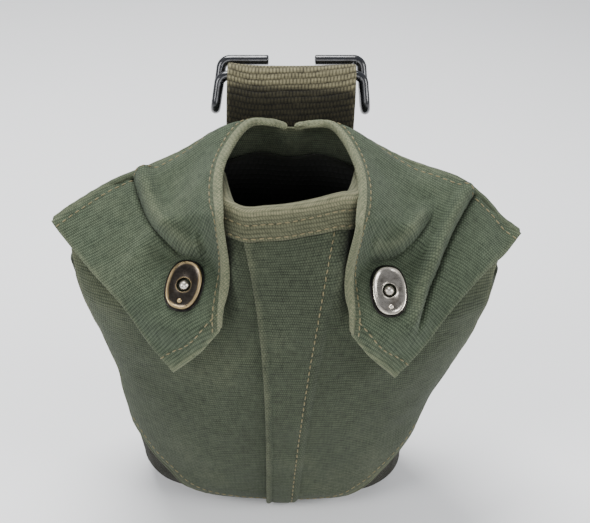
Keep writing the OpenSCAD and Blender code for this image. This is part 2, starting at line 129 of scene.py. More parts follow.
def curve_through(points, t):
    """A smooth curve through the points, for t from 0 to 1."""
    k = np.array(points, float)
    n = len(k) - 1
    x = np.clip(np.asarray(t, float), 0, 1) * n
    i = np.minimum(x.astype(int), n - 1)
    f = (x - i)[..., None]
    p1, p2 = k[i], k[i + 1]
    p0 = np.where((i > 0)[..., None], k[np.maximum(i - 1, 0)], 2 * p1 - p2)
    p3 = np.where((i + 2 <= n)[..., None], k[np.minimum(i + 2, n)], 2 * p2 - p1)
    return 0.5 * (2 * p1 + (p2 - p0) * f + (2 * p0 - 5 * p1 + 4 * p2 - p3) * f ** 2
                  + (3 * p1 - p0 - 3 * p2 + p3) * f ** 3)


def waves(a, b, size, seed):
    """Soft uneven waves, about 1 high and size mm long."""
    rng = np.random.default_rng(seed)
    total = np.zeros(np.broadcast(a, b).shape)
    for _ in range(6):
        angle, phase, shift = rng.uniform(0, 2 * math.pi, 3)
        run = (a * math.cos(angle) + b * math.sin(angle)) / (size * rng.uniform(0.6, 1.7))
        cross = (a * math.sin(angle) - b * math.cos(angle)) / (size * 1.9)
        total = total + np.sin(2 * math.pi * run + phase + 0.9 * np.sin(2 * math.pi * cross + shift))
    return total / 3.5


def unit(v):
    return v / np.maximum(np.linalg.norm(v, axis=-1, keepdims=True), 1e-9)


def grid_normals(g):
    return unit(np.cross(np.gradient(g, axis=0), np.gradient(g, axis=1)))


def settle(p):
    """The canvas has sagged unevenly with age, so points in mm are moved a little."""
    p = np.array(p, float)
    x, y, z = p[..., 0].copy(), p[..., 1], p[..., 2].copy()
    p[..., 0] += (3.6 * ease(-x / 60) * bump_at(z - 72, 32) - 7.5 * ease(x / 60) * bump_at(z - 38, 46))
    calm = ease((np.hypot(np.abs(x) - 38, z - 118) - 16) / 14)
    hump = 2.6 * bump_at(x - 68, 15) - 1.5 * bump_at(x - 84, 4) - 1.9 * bump_at(x + 62, 24) + 1.2 * bump_at(x + 30, 8)
    p[..., 2] += calm * ease((z - 105) / 25) * hump
    return p

# %% [markdown]
# ## From a surface to a piece of cloth
# A cloth piece is a closed slab round its middle surface. Its edges are rounded, because a turned
# edge of canvas is round, so the steps between rows are closer together at the edges. Each piece
# carries a map of its threads, in metres of cloth, and an amount of wear at every point, which on
# the flaps' fold humps and the strap's top also holds painted light.

# %% Cloth pieces
def spaced(n, length, low=True, high=True):
    """n even steps over a length in mm, with closer ones at the ends."""
    close = np.array([0, 0.08, 0.25, 0.5, 0.85]) / length
    even = np.linspace(0, 1, n)
    keep = even[(even > (close[-1] if low else -1)) & (even < 1 - (close[-1] if high else -1))]
    return np.concatenate([close if low else [], keep, 1 - close[::-1] if high else []])


def edge_distance(g, sides):
    """How far each point of a grid is from the named edges, in mm along the cloth."""
    along_i = np.cumsum(np.linalg.norm(np.diff(g, axis=0, prepend=g[:1]), axis=2), axis=0)
    along_j = np.cumsum(np.linalg.norm(np.diff(g, axis=1, prepend=g[:, :1]), axis=2), axis=1)
    found = {"i0": along_i, "i1": along_i[-1:] - along_i, "j0": along_j, "j1": along_j[:, -1:] - along_j}
    return np.min([found[s] for s in sides], axis=0), along_i, along_j


def new_piece(name, points, faces, uv=None, worn_and_lit=None, soft=True):
    """Points in mm become a mesh piece in metres at the origin; soft ones sag."""
    mesh = bpy.data.meshes.new(name)
    mesh.from_pydata(((settle(points) if soft else np.asarray(points)) * MM).tolist(), [], faces)
    corner = np.zeros(len(mesh.loops), np.int32)
    mesh.loops.foreach_get("vertex_index", corner)
    if uv is not None:
        layer = mesh.uv_layers.new(name="threads")
        layer.data.foreach_set("uv", (np.asarray(uv)[corner] * MM).astype(np.float32).ravel())
    if worn_and_lit is not None:
        wear_and_lit_amount = mesh.attributes.new("worn_and_lit", "FLOAT", "POINT")
        wear_and_lit_amount.data.foreach_set("value", np.asarray(worn_and_lit, np.float32).ravel())
    mesh.polygons.foreach_set("use_smooth", np.full(len(mesh.polygons), True))
    piece = bpy.data.objects.new(name, mesh)
    bpy.context.scene.collection.objects.link(piece)
    return piece


def grid_faces(n, m, start=0, flip=False, closed=False):
    i, j = np.meshgrid(np.arange(n if closed else n - 1), np.arange(m - 1), indexing="ij")
    i, j, k = i.ravel(), j.ravel(), (i.ravel() + 1) % n
    f = np.stack([i * m + j, k * m + j, k * m + j + 1, i * m + j + 1], 1) + start
    return (f[:, ::-1] if flip else f).tolist()


def tube_faces(n, sides):
    """Faces of n rings joined into a tube, with a flat face at each end."""
    k = np.arange(sides)
    faces = [[i * sides + j, i * sides + (j + 1) % sides,
              (i + 1) * sides + (j + 1) % sides, (i + 1) * sides + j]
             for i in range(n - 1) for j in range(sides)]
    return faces + [k[::-1].tolist(), ((n - 1) * sides + k).tolist()]


def rim_faces(loop, count):
    """Faces that join the rim of the outer grid to the rim of the inner one."""
    after = np.roll(loop, -1)
    return np.stack([loop, loop + count, after + count, after], 1).tolist()


def cloth(name, middle, thick, uv=None, worn_and_lit=None, round_sides=("i0", "i1", "j0", "j1"), outer_more=0.0):
    """A closed slab of cloth round a middle surface, with rounded edges."""
    n, m = middle.shape[:2]
    away, along_i, along_j = edge_distance(middle, round_sides)
    half = thick / 2 * np.sqrt(np.clip(1 - (1 - np.clip(away / (thick / 2), 0, 1)) ** 2, 0.01, 1))
    normals = grid_normals(middle)
    outer = middle + (half + outer_more)[..., None] * normals
    inner = middle - half[..., None] * normals
    if uv is None:
        uv = np.stack([along_i, along_j], 2)
    if worn_and_lit is None:
        worn_and_lit = bump_at(away, 1.6)
    worn_and_lit = np.broadcast_to(worn_and_lit, (n, m))
    loop = np.concatenate([np.arange(m), np.arange(1, n) * m + m - 1,
                           (n - 1) * m + np.arange(m - 2, -1, -1), np.arange(n - 2, 0, -1) * m])
    count = n * m
    faces = grid_faces(n, m) + grid_faces(n, m, count, flip=True) + rim_faces(loop[::-1], count)
    return new_piece(name, np.concatenate([outer.reshape(-1, 3), inner.reshape(-1, 3)]), faces,
                     np.concatenate([uv.reshape(-1, 2)] * 2), np.concatenate([worn_and_lit.ravel()] * 2))

def carried(name, rings_outer, rings_inner, worn_and_lit, flip):
    """A closed tape between two grids, whose first index runs along the edge."""
    if flip:
        rings_outer, rings_inner, worn_and_lit = rings_outer[::-1], rings_inner[::-1], worn_and_lit[::-1]
    n, m = rings_outer.shape[:2]
    _, along_i, along_j = edge_distance(rings_outer, ("i0",))
    loop = np.concatenate([np.arange(m), np.arange(1, n) * m + m - 1,
                           (n - 1) * m + np.arange(m - 2, -1, -1), np.arange(n - 2, 0, -1) * m])
    faces = grid_faces(n, m) + grid_faces(n, m, n * m, flip=True) + rim_faces(loop[::-1], n * m)
    uv = np.stack([along_i, along_j], 2).reshape(-1, 2)
    return new_piece(name, np.concatenate([rings_outer.reshape(-1, 3), rings_inner.reshape(-1, 3)]), faces,
                     np.concatenate([uv, uv]), np.concatenate([worn_and_lit.ravel()] * 2))

# %% [markdown]
# ## The pouch's surface
# The pouch is wider than deep, with round corners in plan, and flares towards the top. Its front
# shoulders lean back above the flaps' snaps, and a tongue in the middle stays upright as the lip.
# These are the CAD model's own rules, so the cloth lies where its solids do.

# %% Pouch surface
FOOT_HALF_W, FLARE, FOOT_R = 61, 0.26, 15
FRONT_DEPTH, BACK_DEPTH, LIP_Z = 36.5, 31.5, 151
CENTRE_Y, SQUARENESS, SEAM_S, TONGUE_S = -3, 2.5, 0.94, 0.2698
CANVAS, PLY_GAP, LINING = 1.2, 0.25, 1.6
PLY = CANVAS + PLY_GAP
PANEL_H = -4.75


def foot_inset(z):
    return FOOT_R * (1 - np.sqrt(np.clip(1 - (np.clip(FOOT_R - z, 0, None) / FOOT_R) ** 2, 0, 1)))


def half_width(z):
    return FOOT_HALF_W + FLARE * np.clip(z - FOOT_R, 0, None) - foot_inset(z)


def front_reach(z):
    return FRONT_DEPTH - 0.0018 * (z - 68) ** 2 - foot_inset(z)


def back_reach(z):
    return BACK_DEPTH - 0.0016 * (z - 72) ** 2 - foot_inset(z)


def round_off(s):
    return np.clip(1 - np.abs(s) ** SQUARENESS, 0, None) ** (1 / SQUARENESS)


def shoulder_lean(s, z):
    t = np.clip(z - 103, 0, None)
    return ease((np.abs(s) - 0.205) / 0.12) * t * t / (t + 5)


def lip_rise(s):
    """The lip dips on one side and stands up on the other."""
    rise = curve_through([[1.8], [-2.6], [-2.3], [-1.2], [0.8], [3.2], [4.6]], s / 0.54 + 0.5)[..., 0]
    return rise * ease((0.37 - np.abs(s)) / 0.1)


def front_wall(s, z, flat_h=PANEL_H):
    """The front wall at share s of the half width and height z, flat under the snap."""
    z = z + lip_rise(s) * ease((z - 112) / 36)
    y = CENTRE_Y - (front_reach(z) - shoulder_lean(s, z)) * round_off(s)
    p = np.stack([-np.abs(s) * half_width(z), y, z + 0 * s], -1)
    c = to_flap(p)
    near = 1 - ease((snap_reach(c) - 10) / 8)
    p = p + ((flat_h - c[..., 2]) * near)[..., None] * SNAP_DIR
    p[..., 0] *= np.where(s > 0, -1, 1)
    return p


def front_top(s):
    s = np.abs(s)
    return LIP_Z - 27 * ease((s - TONGUE_S) / 0.15) - 8 * ease((s - 0.42) / 0.5)


def bottom_seam(s):
    return 4 + 45 * np.abs(s) ** 4


def back_wall(s, z):
    return np.stack([s * half_width(z), CENTRE_Y + back_reach(z) * round_off(s), z + 0 * s], -1)


def wall_waves(x, z):
    """How far the slack canvas stands out of its plain shape."""
    calm = 1 - 0.8 * bump_at(np.hypot(np.abs(x) - 38, z - 118), 16)
    slack = 0.55 * waves(x, z, 46, 3) + 0.28 * waves(x, z, 17, 8)
    return slack * calm * ease(z / 14)

# %% [markdown]
# ## The flap's own frame
# A flap is drawn on its hinge line: q runs outwards along the hinge, p falls over the shoulder
# towards the stud, and h stands off the flap. Four smooth edges span it like a sail. Folds are
# added by their distance from a line: a sharp crease with a soft hump beside it.

# %% Flap frame
HINGE_IN = np.array([-24.7, 15, 164.3])
HINGE_OUT = np.array([-92.2, -6, 134.2])
SNAP_AT = np.array([-38, -33, 117.8])
HINGE_DIR = unit(HINGE_OUT - HINGE_IN)
SNAP_Q = (SNAP_AT - HINGE_IN) @ HINGE_DIR
arm = SNAP_AT - HINGE_IN - SNAP_Q * HINGE_DIR
SNAP_P = np.linalg.norm(arm)
FALL_DIR = arm / SNAP_P
SNAP_DIR = np.cross(HINGE_DIR, FALL_DIR)
FLAP_T = 1.3

ROOT_EDGE = [[-18.3, 13.5, 1], [-10, 7, 2.2], [3.9, 4.5, 1.7], [19.3, 3.9, 1.5],
             [34.3, 2.1, 1], [49, 0.8, 1], [66, 2.7, 1], [78, 5.1, 1]]
NECK_EDGE = [[-18.3, 13.5, 1], [-14.6, 11.4, 3.4], [-6.8, 9.2, 7.8], [3.2, 15.4, 12.4],
             [13.2, 28, 19.8], [20.8, 45.5, 22.6], [29.8, 61, 10.5], [39.4, 72, -8]]
SIDE_EDGE = [[78, 5.1, 1], [76.7, 12, 0.5], [72.5, 29.5, 0], [68.6, 46, -3],
             [66.9, 63.3, -10], [64, 75.4, -15]]
HEM_EDGE = [[39.4, 72, -8], [51.7, 75, -10.5], [64, 75.4, -15]]


def to_flap(x):
    w = x - HINGE_IN
    return np.stack([w @ HINGE_DIR, w @ FALL_DIR, w @ SNAP_DIR], -1)


def from_flap(c):
    return HINGE_IN + c[..., :1] * HINGE_DIR + c[..., 1:2] * FALL_DIR + c[..., 2:] * SNAP_DIR


def snap_reach(c):
    return np.hypot(c[..., 0] - SNAP_Q, c[..., 1] - SNAP_P)


def line_distance(q, p, line):
    """Signed distance from a line drawn down the flap, more than 0 on its neck side, and how
    far down the line the nearest point is, from 0 to 1."""
    t = np.linspace(0, 1, 60)
    path = curve_through(line, t)
    gap = np.hypot(q[..., None] - path[:, 0], p[..., None] - path[:, 1])
    k = gap.argmin(-1)
    run = unit(np.gradient(path, axis=0))[k]
    side = run[..., 1] * (path[k, 0] - q) - run[..., 0] * (path[k, 1] - p)
    return np.sign(side) * gap.min(-1), t[k]


FOLDS = {
    -1: [([[41, -1], [42.8, 14], [43.2, 25], [41, 35], [36.5, 43.5], [30.5, 47.5]], 3.2, 5.0, 3.4, 0.2)],
    1: [([[44, 15], [42.5, 26], [40, 36], [35, 42.5], [28, 46]], 2.0, 2.8, 2.8, 0),
        ([[55, -1], [54.2, 12], [54.2, 28], [56.6, 46], [60.5, 62]], 2.4, 3.4, 2.4, 0.2)],
}


def fold_height(q, p, side):
    h = 0.45 * waves(q, p, 30, 21 + side) + 0.2 * waves(q, p, 11, 31 + side)
    for line, crease, hump, soft, early in FOLDS[side]:
        d, t = line_distance(q, p, line)
        strength = ease((t + early) / 0.25) * ease((1 - t) / 0.12)
        h = h + strength * (hump * bump_at(d - soft - 0.6, soft) - crease * bump_at(d + 0.5, 1.3)
                            - 0.35 * crease * bump_at(d + 5, 4))
    return h


def flap_shape(u, w, side):
    """The flap's middle surface, as [q, p, h]; u runs from the neck out, w down from the root."""
    u, w = np.broadcast_arrays(np.asarray(u, float), np.asarray(w, float))
    a, b = u[..., None], w[..., None]
    root, neck, out, hem = (np.array(e, float) for e in (ROOT_EDGE, NECK_EDGE, SIDE_EDGE, HEM_EDGE))
    c = ((1 - b) * curve_through(root, u) + b * curve_through(hem, u)
         + (1 - a) * curve_through(neck, w) + a * curve_through(out, w)
         - (1 - a) * (1 - b) * root[0] - a * (1 - b) * out[0] - (1 - a) * b * hem[0] - a * b * hem[2])
    flat = ease((snap_reach(c) - 12) / 12)
    calm = ease((snap_reach(c) - 9) / 4.5) * ease(w / 0.05)
    fold = fold_height(c[..., 0], c[..., 1], side)
    c[..., 2] = c[..., 2] * flat + np.maximum(fold, -1.6 - 3 * ease((snap_reach(c) - 12) / 8)) * calm
    return c


def flap_point(u, w, side):
    p = from_flap(flap_shape(u, w, side))
    if side > 0:
        p = p * np.array([-1, 1, 1])
    return p

# %% [markdown]
# ## Shader maths
# A small class wraps a socket, so that masks are written as plain sums. One method makes every
# other node. The canvas weave is a brick pattern of small pillows, one for each thread that comes
# to the surface, drawn on the map of threads so that it follows the cloth.

# %% Shader helpers
class Wire:
    """A number that flows between nodes."""
    def __init__(self, look, socket):
        self.look, self.socket = look, socket

    def _math(self, operation, *values):
        return self.look.node("ShaderNodeMath", {"operation": operation}, *values)

    def __add__(self, other): return self._math("ADD", self, other)
    def __sub__(self, other): return self._math("SUBTRACT", self, other)
    def __mul__(self, other): return self._math("MULTIPLY", self, other)
    def __truediv__(self, other): return self._math("DIVIDE", self, other)
    def __pow__(self, other): return self._math("POWER", self, other)
    def __rsub__(self, other): return self._math("SUBTRACT", other, self)
    __radd__, __rmul__ = __add__, __mul__
    def sin(self): return self._math("SINE", self)
    def size(self): return self._math("ABSOLUTE", self)
    def floor(self): return self._math("FLOOR", self)
    def clamp(self): return self.look.node("ShaderNodeClamp", {}, self)


class Look:
    """A material and its nodes."""
    def __init__(self, name):
        self.material = bpy.data.materials.new(name)
        self.material.use_nodes = True
        self.tree = self.material.node_tree
        self.shader = self.tree.nodes["Principled BSDF"]

    def node(self, kind, settings, *values, out=0, **named):
        made = self.tree.nodes.new(kind)
        for key, value in settings.items():
            setattr(made, key, value)
        for key, value in [*enumerate(values), *((k.replace("_", " "), v) for k, v in named.items())]:
            self.put(made.inputs[key], value)
        return Wire(self, made.outputs[out])

    def put(self, socket, value):
        if isinstance(value, Wire):
            self.tree.links.new(value.socket, socket)
        elif value is not None:
            socket.default_value = value

    def set(self, **named):
        for key, value in named.items():
            self.put(self.shader.inputs[key.replace("_", " ")], value)

    def blend(self, amount, a, b):
        made = self.tree.nodes.new("ShaderNodeMix")
        made.data_type = "RGBA"
        for key, value in (("Factor_Float", amount), ("A_Color", a), ("B_Color", b)):
            socket = next(s for s in made.inputs if s.identifier == key)
            self.put(socket, value)
        return Wire(self, next(s for s in made.outputs if s.identifier == "Result_Color"))

    def noise(self, where, scale, detail=3.0, rough=0.55):
        return self.node("ShaderNodeTexNoise", {}, Vector=where, Scale=scale, Detail=detail, Roughness=rough)

    def place(self):
        return self.node("ShaderNodeTexCoord", {}, out="Object")

    def wear_and_lit_amount(self):
        return self.node("ShaderNodeAttribute", {"attribute_name": "worn_and_lit"}, out="Fac")

    def bump(self, height, strength, distance):
        normal = self.node("ShaderNodeBump", {}, Strength=strength, Distance=distance, Height=height)
        self.set(Normal=normal)


def shade(r, g, b):
    """A colour given as it looks on a screen, from 0 to 255."""
    return tuple(((c / 255 + 0.055) / 1.055) ** 2.4 if c > 10 else c / 255 / 12.92 for c in (r, g, b)) + (1,)

# %% Woven cloth
def woven(name, thread, gap, faded_and_lit, across=0.75, down=1.05, depth=0.00022, slant=0.0, rough=0.92,
          mottle=0.5, fade=0.75, high=None):
    """Plain woven cotton: threads of one colour, dark gaps, and pale wear, which on the flaps' fold humps and the
    strap's top is painted light.
    The gusset's colour is painted darker at the bottom as painted shade, and takes the body's tones higher up."""
    look = Look(name)
    where = look.node("ShaderNodeUVMap", {"uv_map": "threads"})
    u, v = (look.node("ShaderNodeSeparateXYZ", {}, where, out=k) for k in (0, 1))
    place = look.place()
    drift = (look.noise(place, 55.0, 2.0) - 0.5) * 0.0016
    u = (u + v * slant + drift) / (across * MM)
    v = (v - u * (slant * across * MM) + drift) / (down * MM)
    row = v.floor()
    pillow = ((u + row * 0.5) * math.pi).sin().size() ** 0.6 * (v * math.pi).sin().size() ** 0.6
    stretch = "ShaderNodeVectorMath", {"operation": "MULTIPLY"}, where
    slub = look.noise(look.node(*stretch, (220.0, 1100.0, 1.0)), 1.0, 2.0)
    slub2 = look.noise(look.node(*stretch, (1100.0, 200.0, 1.0)), 1.0, 2.0)
    broad = look.noise(place, 22.0, 4.0)
    fine = look.noise(place, 190.0, 4.0)
    light = (pillow * 0.8 + (slub - 0.5) * 0.9 + (slub2 - 0.5) * 0.7 + 0.1).clamp()
    colour = look.blend(light, gap, thread)
    if high:
        # Painted shade: low down the colour is darker, and higher up it takes the body's tones.
        climb = ((look.node("ShaderNodeSeparateXYZ", {}, place, out=2) - 0.04) / 0.03).clamp()
        colour = look.blend(climb, colour, look.blend(light, high[1], high[0]))
    worn_and_lit = (look.wear_and_lit_amount() * 0.9 + (broad - 0.52) * 1.5 * mottle + (fine - 0.5) * 0.5 * mottle).clamp()
    colour = look.blend(worn_and_lit * fade, colour, look.blend(light, thread, faded_and_lit))
    dusk = ((0.5 - broad) * 2.0 * mottle + 0.18).clamp()
    colour = look.blend(dusk * 0.6, colour, gap)
    look.set(Base_Color=colour, Roughness=rough)
    look.shader.inputs["Specular IOR Level"].default_value = 0.15
    look.shader.inputs["Sheen Weight"].default_value = 0.06
    look.shader.inputs["Sheen Roughness"].default_value = 0.6
    look.bump(pillow + slub * 0.6, 0.75, depth)
    return look.material


BODY_TONES = shade(75, 83, 65), shade(27, 31, 23)
BODY_CANVAS = woven("body_canvas", *BODY_TONES, shade(116, 116, 90), mottle=0.75)
FLAP_CANVAS = woven("flap_canvas", shade(81, 92, 73), shade(31, 38, 28), shade(124, 125, 98), mottle=0.6)
# The bottom canvas is painted darker near the floor as painted shade.
BOTTOM_CANVAS_PAINTED_SHADE = woven("bottom_canvas_painted_shade", shade(46, 45, 33), shade(17, 17, 12), shade(80, 74, 54),
                      high=BODY_TONES)
EDGE_TAPE = woven("edge_tape", shade(81, 91, 71), shade(31, 37, 27), shade(138, 137, 108),
                  across=1.15, down=1.15, slant=0.9, fade=0.9, mottle=0.25)
LIP_TAPE = woven("lip_tape", shade(82, 86, 66), shade(29, 32, 22), shade(146, 142, 112),
                 across=1.0, down=1.6, mottle=0.3)
# The web's tones are painted dark as painted shade for the strap's shaded front face.
STRAP_WEB_PAINTED_LIGHT_AND_SHADE = woven("strap_web_painted_light_and_shade", shade(50, 47, 33), shade(10, 9, 6), shade(140, 134, 104),
                  across=1.35, down=2.3, depth=0.0006, fade=0.95, mottle=0.25)
# The felt's colours are painted near-black as painted shade, for the dark inside of the pouch.
FELT_PAINTED_SHADE = woven("felt_lining_painted_shade", shade(18, 20, 15), shade(7, 8, 6), shade(25, 26, 20), across=2.3, down=2.9)

# %% Thread, iron and plated brass
def spun_thread(name, colour, dark):
    look = Look(name)
    tint = look.noise(look.place(), 900.0, 2.0)
    look.set(Base_Color=look.blend(tint, dark, colour), Roughness=0.85)
    look.shader.inputs["Sheen Weight"].default_value = 0.2
    return look.material


def old_metal(name, bright, tarnish, worn_colour, amount=0.5, rough=(0.2, 0.5), coat=0.0, metal=1.0):
    """Plated metal: a bright ground, cloudy tarnish, fine scratches, and bare metal where it is rubbed."""
    look = Look(name)
    place = look.place()
    cloud = look.noise(place, 260.0, 5.0, 0.65)
    pits = look.noise(place, 1500.0, 3.0)
    drawn = look.node("ShaderNodeVectorMath", {"operation": "MULTIPLY"}, place, (300.0, 2600.0, 900.0))
    scratch = look.noise(drawn, 1.0, 3.0)
    stain = ((cloud - 0.5) * 4.0 + amount).clamp()
    colour = look.blend(stain, bright, tarnish)
    colour = look.blend((look.wear_and_lit_amount() * 1.3 + (cloud - 0.6) * 0.8).clamp(), colour, worn_colour)
    look.set(Base_Color=colour, Metallic=metal,
             Roughness=(rough[0] + stain * (rough[1] - rough[0]) + (scratch - 0.5) * 0.25).clamp())
    look.shader.inputs["Coat Roughness"].default_value = 0.15
    look.shader.inputs["Coat Weight"].default_value = coat
    look.bump(pits * 0.6 + scratch * 0.5 + cloud, 0.25, 0.00006)
    return look.material


THREAD = spun_thread("tan_thread", shade(132, 121, 84), shade(82, 77, 51))
BRONZE = old_metal("blackened_bronze", shade(64, 59, 54), shade(33, 30, 28),
                   shade(160, 140, 104), 0.45, (0.26, 0.5))
NICKEL = old_metal("plated_nickel", shade(168, 163, 154), shade(70, 66, 60),
                   shade(214, 206, 192), 0.35, (0.16, 0.4))
STEEL = old_metal("stud_steel", shade(205, 200, 190), shade(130, 122, 110),
                  shade(235, 230, 218), 0.2, (0.3, 0.45))
DARK_RING = old_metal("dark_ring", shade(52, 50, 48), shade(26, 26, 26),
                      shade(120, 112, 96), 0.5, (0.3, 0.55))
BLACK_IRON = old_metal("black_iron", shade(26, 28, 33), shade(14, 15, 18),
                       shade(58, 60, 66), 0.5, (0.18, 0.34), 0.6, 0.3)
paint = Look("pale_floor")
paint.set(Base_Color=paint.blend(paint.noise(paint.place(), 3.0),
                                 (0.86, 0.87, 0.88, 1), (0.9, 0.9, 0.9, 1)), Roughness=0.8)
floor_mesh.materials.append(paint.material)


def finish(piece, material, body=None, stands_for=()):
    piece.data.materials.clear()
    piece.data.materials.append(material)
    if body:
        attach(piece, body)
    if stands_for:
        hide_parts(*stands_for)
    return piece

# %% [markdown]
# ## The front, in two halves
# The front is two pieces of canvas. The right one laps over the left one down the middle, from a
# narrow strip at the bottom to a wide one at the lip, so one edge shows as a step and the other as
# a row of stitches. Both are cut from the same wall surface, so they meet everywhere.

# %% Front halves
def lap_left(w):
    return mix(-0.085, -0.2, w ** 3)


def lap_right(w):
    return mix(0.11, 0.2, w ** 2)


def wall_piece(name, s_of, n, m, rise_of, material, stands_for, thick=CANVAS, sides=("i0", "i1", "j0", "j1"),
               top_of=front_top, low=0.0, flat_h=PANEL_H):
    c, w = np.meshgrid(spaced(n, 75), spaced(m, 135), indexing="ij")
    s = s_of(c, w)
    z = mix(bottom_seam(s) + low, top_of(s), w)
    skin = front_wall(s, z, flat_h)
    normal = grid_normals(skin)
    middle = skin + (rise_of(s, w) + wall_waves(skin[..., 0], skin[..., 2]))[..., None] * normal
    away, _, _ = edge_distance(middle, ("i0", "i1", "j0", "j1"))
    seam = edge_distance(middle, ("j0",))[0]
    worn_and_lit = 0.6 * bump_at(away, 1.8) + 0.45 * bump_at(seam, 4) + 0.2 * ease((w - 0.75) / 0.25)
    uv = np.stack([s * 75, z], -1)
    return finish(cloth(name, middle, thick, uv, worn_and_lit, sides), material, "pouch", stands_for)


def cloth_top(s):
    return front_top(s) + 4.5 * ease((np.abs(s) - 0.62) / 0.2)


wall_piece("front_left_cloth", lambda c, w: mix(-SEAM_S - 0.004, lap_right(w) - 0.012, c), 130, 150,
           lambda s, w: PLY_GAP + CANVAS / 2, BODY_CANVAS, ("front_panel_left",), top_of=cloth_top)


def lap_rise(s, w):
    over = 1 - ease((s - lap_right(w)) / 0.045)
    pulled = (0.5 * bump_at((s - lap_right(w) + 0.012) * 75, 1.0)
              - 0.55 * bump_at((s - lap_left(w)) * 75 - 1.0, 1.1)
              + 0.25 * bump_at((s - lap_left(w)) * 75 - 3.2, 0.9))
    return PLY_GAP + CANVAS / 2 + PLY * over - pulled


wall_piece("front_right_cloth", lambda c, w: mix(lap_left(w), SEAM_S + 0.004, c), 150, 150, lap_rise,
           BODY_CANVAS, ("front_panel_right",), top_of=cloth_top)
wall_piece("front_lining_felt", lambda c, w: mix(-0.86, 0.86, c), 90, 70,
           lambda s, w: -CANVAS - 2 * PLY_GAP - LINING / 2 - 0.1, FELT_PAINTED_SHADE, ("lining_front",), LINING,
           top_of=lambda s: np.minimum(front_top(s), 116), low=6, flat_h=PANEL_H - 1.4)

# %% [markdown]
# ## The lip
# The front's top edge is turned over and stitched down twice. The turned cloth is paler than the
# rest, because this edge rubs on the canteen, and its top is a plump ribbed roll.

# %% Lip
LIP_BAND = 11


def lip_surface(s, z, out):
    p = front_wall(s, z)
    across = front_wall(s + 0.01, z) - p
    down = front_wall(s, z + 0.5) - p
    return p + (out + wall_waves(p[..., 0], p[..., 2]))[..., None] * unit(np.cross(across, down))


def lip_out(s):
    return PLY * (1 + ease((s - lap_left(1) + 0.05) / 0.035))


def lip_ring(s, gap):
    """The turned cloth's run over the lip: up the outside, over the top, down the inside."""
    out, z = lip_out(s), front_top(s)
    down = np.concatenate([np.linspace(LIP_BAND, 1.2, 26), [0.7, 0.3]])
    outside = [lip_surface(s, z - d, out + gap - 0.22 * bump_at(d - 4.6, 0.6) - 0.22 * bump_at(d - 9.8, 0.6)
                           + 0.35 * bump_at(d - 1.2, 1.6)) for d in down]
    over = [lip_surface(s, z - 0.2, out / 2 + (out / 2 + gap) * math.cos(a))
            + np.array([0, 0, 1]) * ((out / 2 + gap) * 0.75 * math.sin(a))[..., None]
            for a in np.linspace(0.25, math.pi - 0.25, 9)]
    inside = [lip_surface(s, z - d, 0 * s - gap) for d in np.linspace(0.6, 7.8, 12)]
    return np.stack(outside + over + inside, 1)


reach = TONGUE_S - 0.012
s = mix(-reach, reach, spaced(150, 50))
outer, inner = lip_ring(s, PLY_GAP + 1.0), lip_ring(s, PLY_GAP + 0.1)
_, _, along_j = edge_distance(outer, ("i0",))
worn_and_lit = np.clip(0.35 + 0.9 * bump_at(along_j - 12, 2.6), 0, 1) * np.ones(outer.shape[:2])
lip = carried("lip_roll", outer, inner, worn_and_lit, False)
finish(lip, LIP_TAPE, "pouch", ("lip_binding",))

# %% [markdown]
# ## Bottom and sides
# One long gusset of browner canvas closes the bottom and the sides; low down its colour is painted darker as painted
# shade. It is a bowl, so it is drawn as rings that run all the way round and close on one point in the middle of the
# floor.

# %% Gusset
def gusset_point(phi, z, t):
    lean = np.arcsin(np.clip((FOOT_R - z) / FOOT_R, 0, 1))
    c, n = np.cos(phi), np.sin(phi)
    s = np.sign(c) * np.abs(c) ** (2 / SQUARENESS)
    deep = np.where(n < 0, front_reach(z) - shoulder_lean(s, z), back_reach(z))
    t = t + np.minimum(wall_waves(s * half_width(z), z), 0.6)
    return np.stack([s * (half_width(z) + t * np.cos(lean)),
                     CENTRE_Y + np.sign(n) * np.abs(n) ** (2 / SQUARENESS) * (deep + t * np.cos(lean)),
                     z - t * np.sin(lean)], -1)


ROUND = 320
phi = np.linspace(0, 2 * math.pi, ROUND, endpoint=False)
s_round = np.abs(np.cos(phi)) ** (2 / SQUARENESS)
side = ease((s_round - 0.885) / 0.035)
rim = mix(bottom_seam(np.minimum(s_round, SEAM_S)) + 6, 113, side)
climb = np.concatenate([np.linspace(0, 0.24, 20), np.linspace(0.26, 1, 54)])
shells = []
for t in (0.0, -CANVAS):
    p, f = np.meshgrid(phi, climb, indexing="ij")
    ring = gusset_point(p, f * rim[:, None], t)
    ring[..., 2] = np.maximum(ring[..., 2], -t)
    flat = [mix(np.array([0, CENTRE_Y, -t]), ring[:, 0], k) for k in (0.02, 0.15, 0.3, 0.45, 0.6, 0.75, 0.9)]
    shells.append(np.concatenate([np.stack(flat, 1), ring], 1))
n, m = shells[0].shape[:2]
count = n * m
points = np.concatenate([shells[0].reshape(-1, 3), shells[1].reshape(-1, 3),
                         [[0, CENTRE_Y, 0], [0, CENTRE_Y, CANVAS]]])
ids = np.arange(n)
after = (ids + 1) % n
faces = (grid_faces(n, m, closed=True) + grid_faces(n, m, count, flip=True, closed=True)
         + np.stack([ids * m + m - 1, after * m + m - 1,
                     after * m + m - 1 + count, ids * m + m - 1 + count], 1).tolist()
         + np.stack([after * m, ids * m, ids * 0 + 2 * count], 1).tolist()
         + np.stack([ids * m + count, after * m + count, ids * 0 + 2 * count + 1], 1).tolist())
_, along_i, along_j = edge_distance(shells[0], ("i0",))
uv = np.stack([along_i, along_j], 2).reshape(-1, 2)
worn_and_lit = np.tile(0.3 * bump_at(shells[0][..., 2], 3).ravel(), 2)
gusset = new_piece("gusset_cloth", points, faces, np.concatenate([uv, uv, [[0, 0], [0, 0]]]),
                   np.concatenate([worn_and_lit, [0, 0]]))
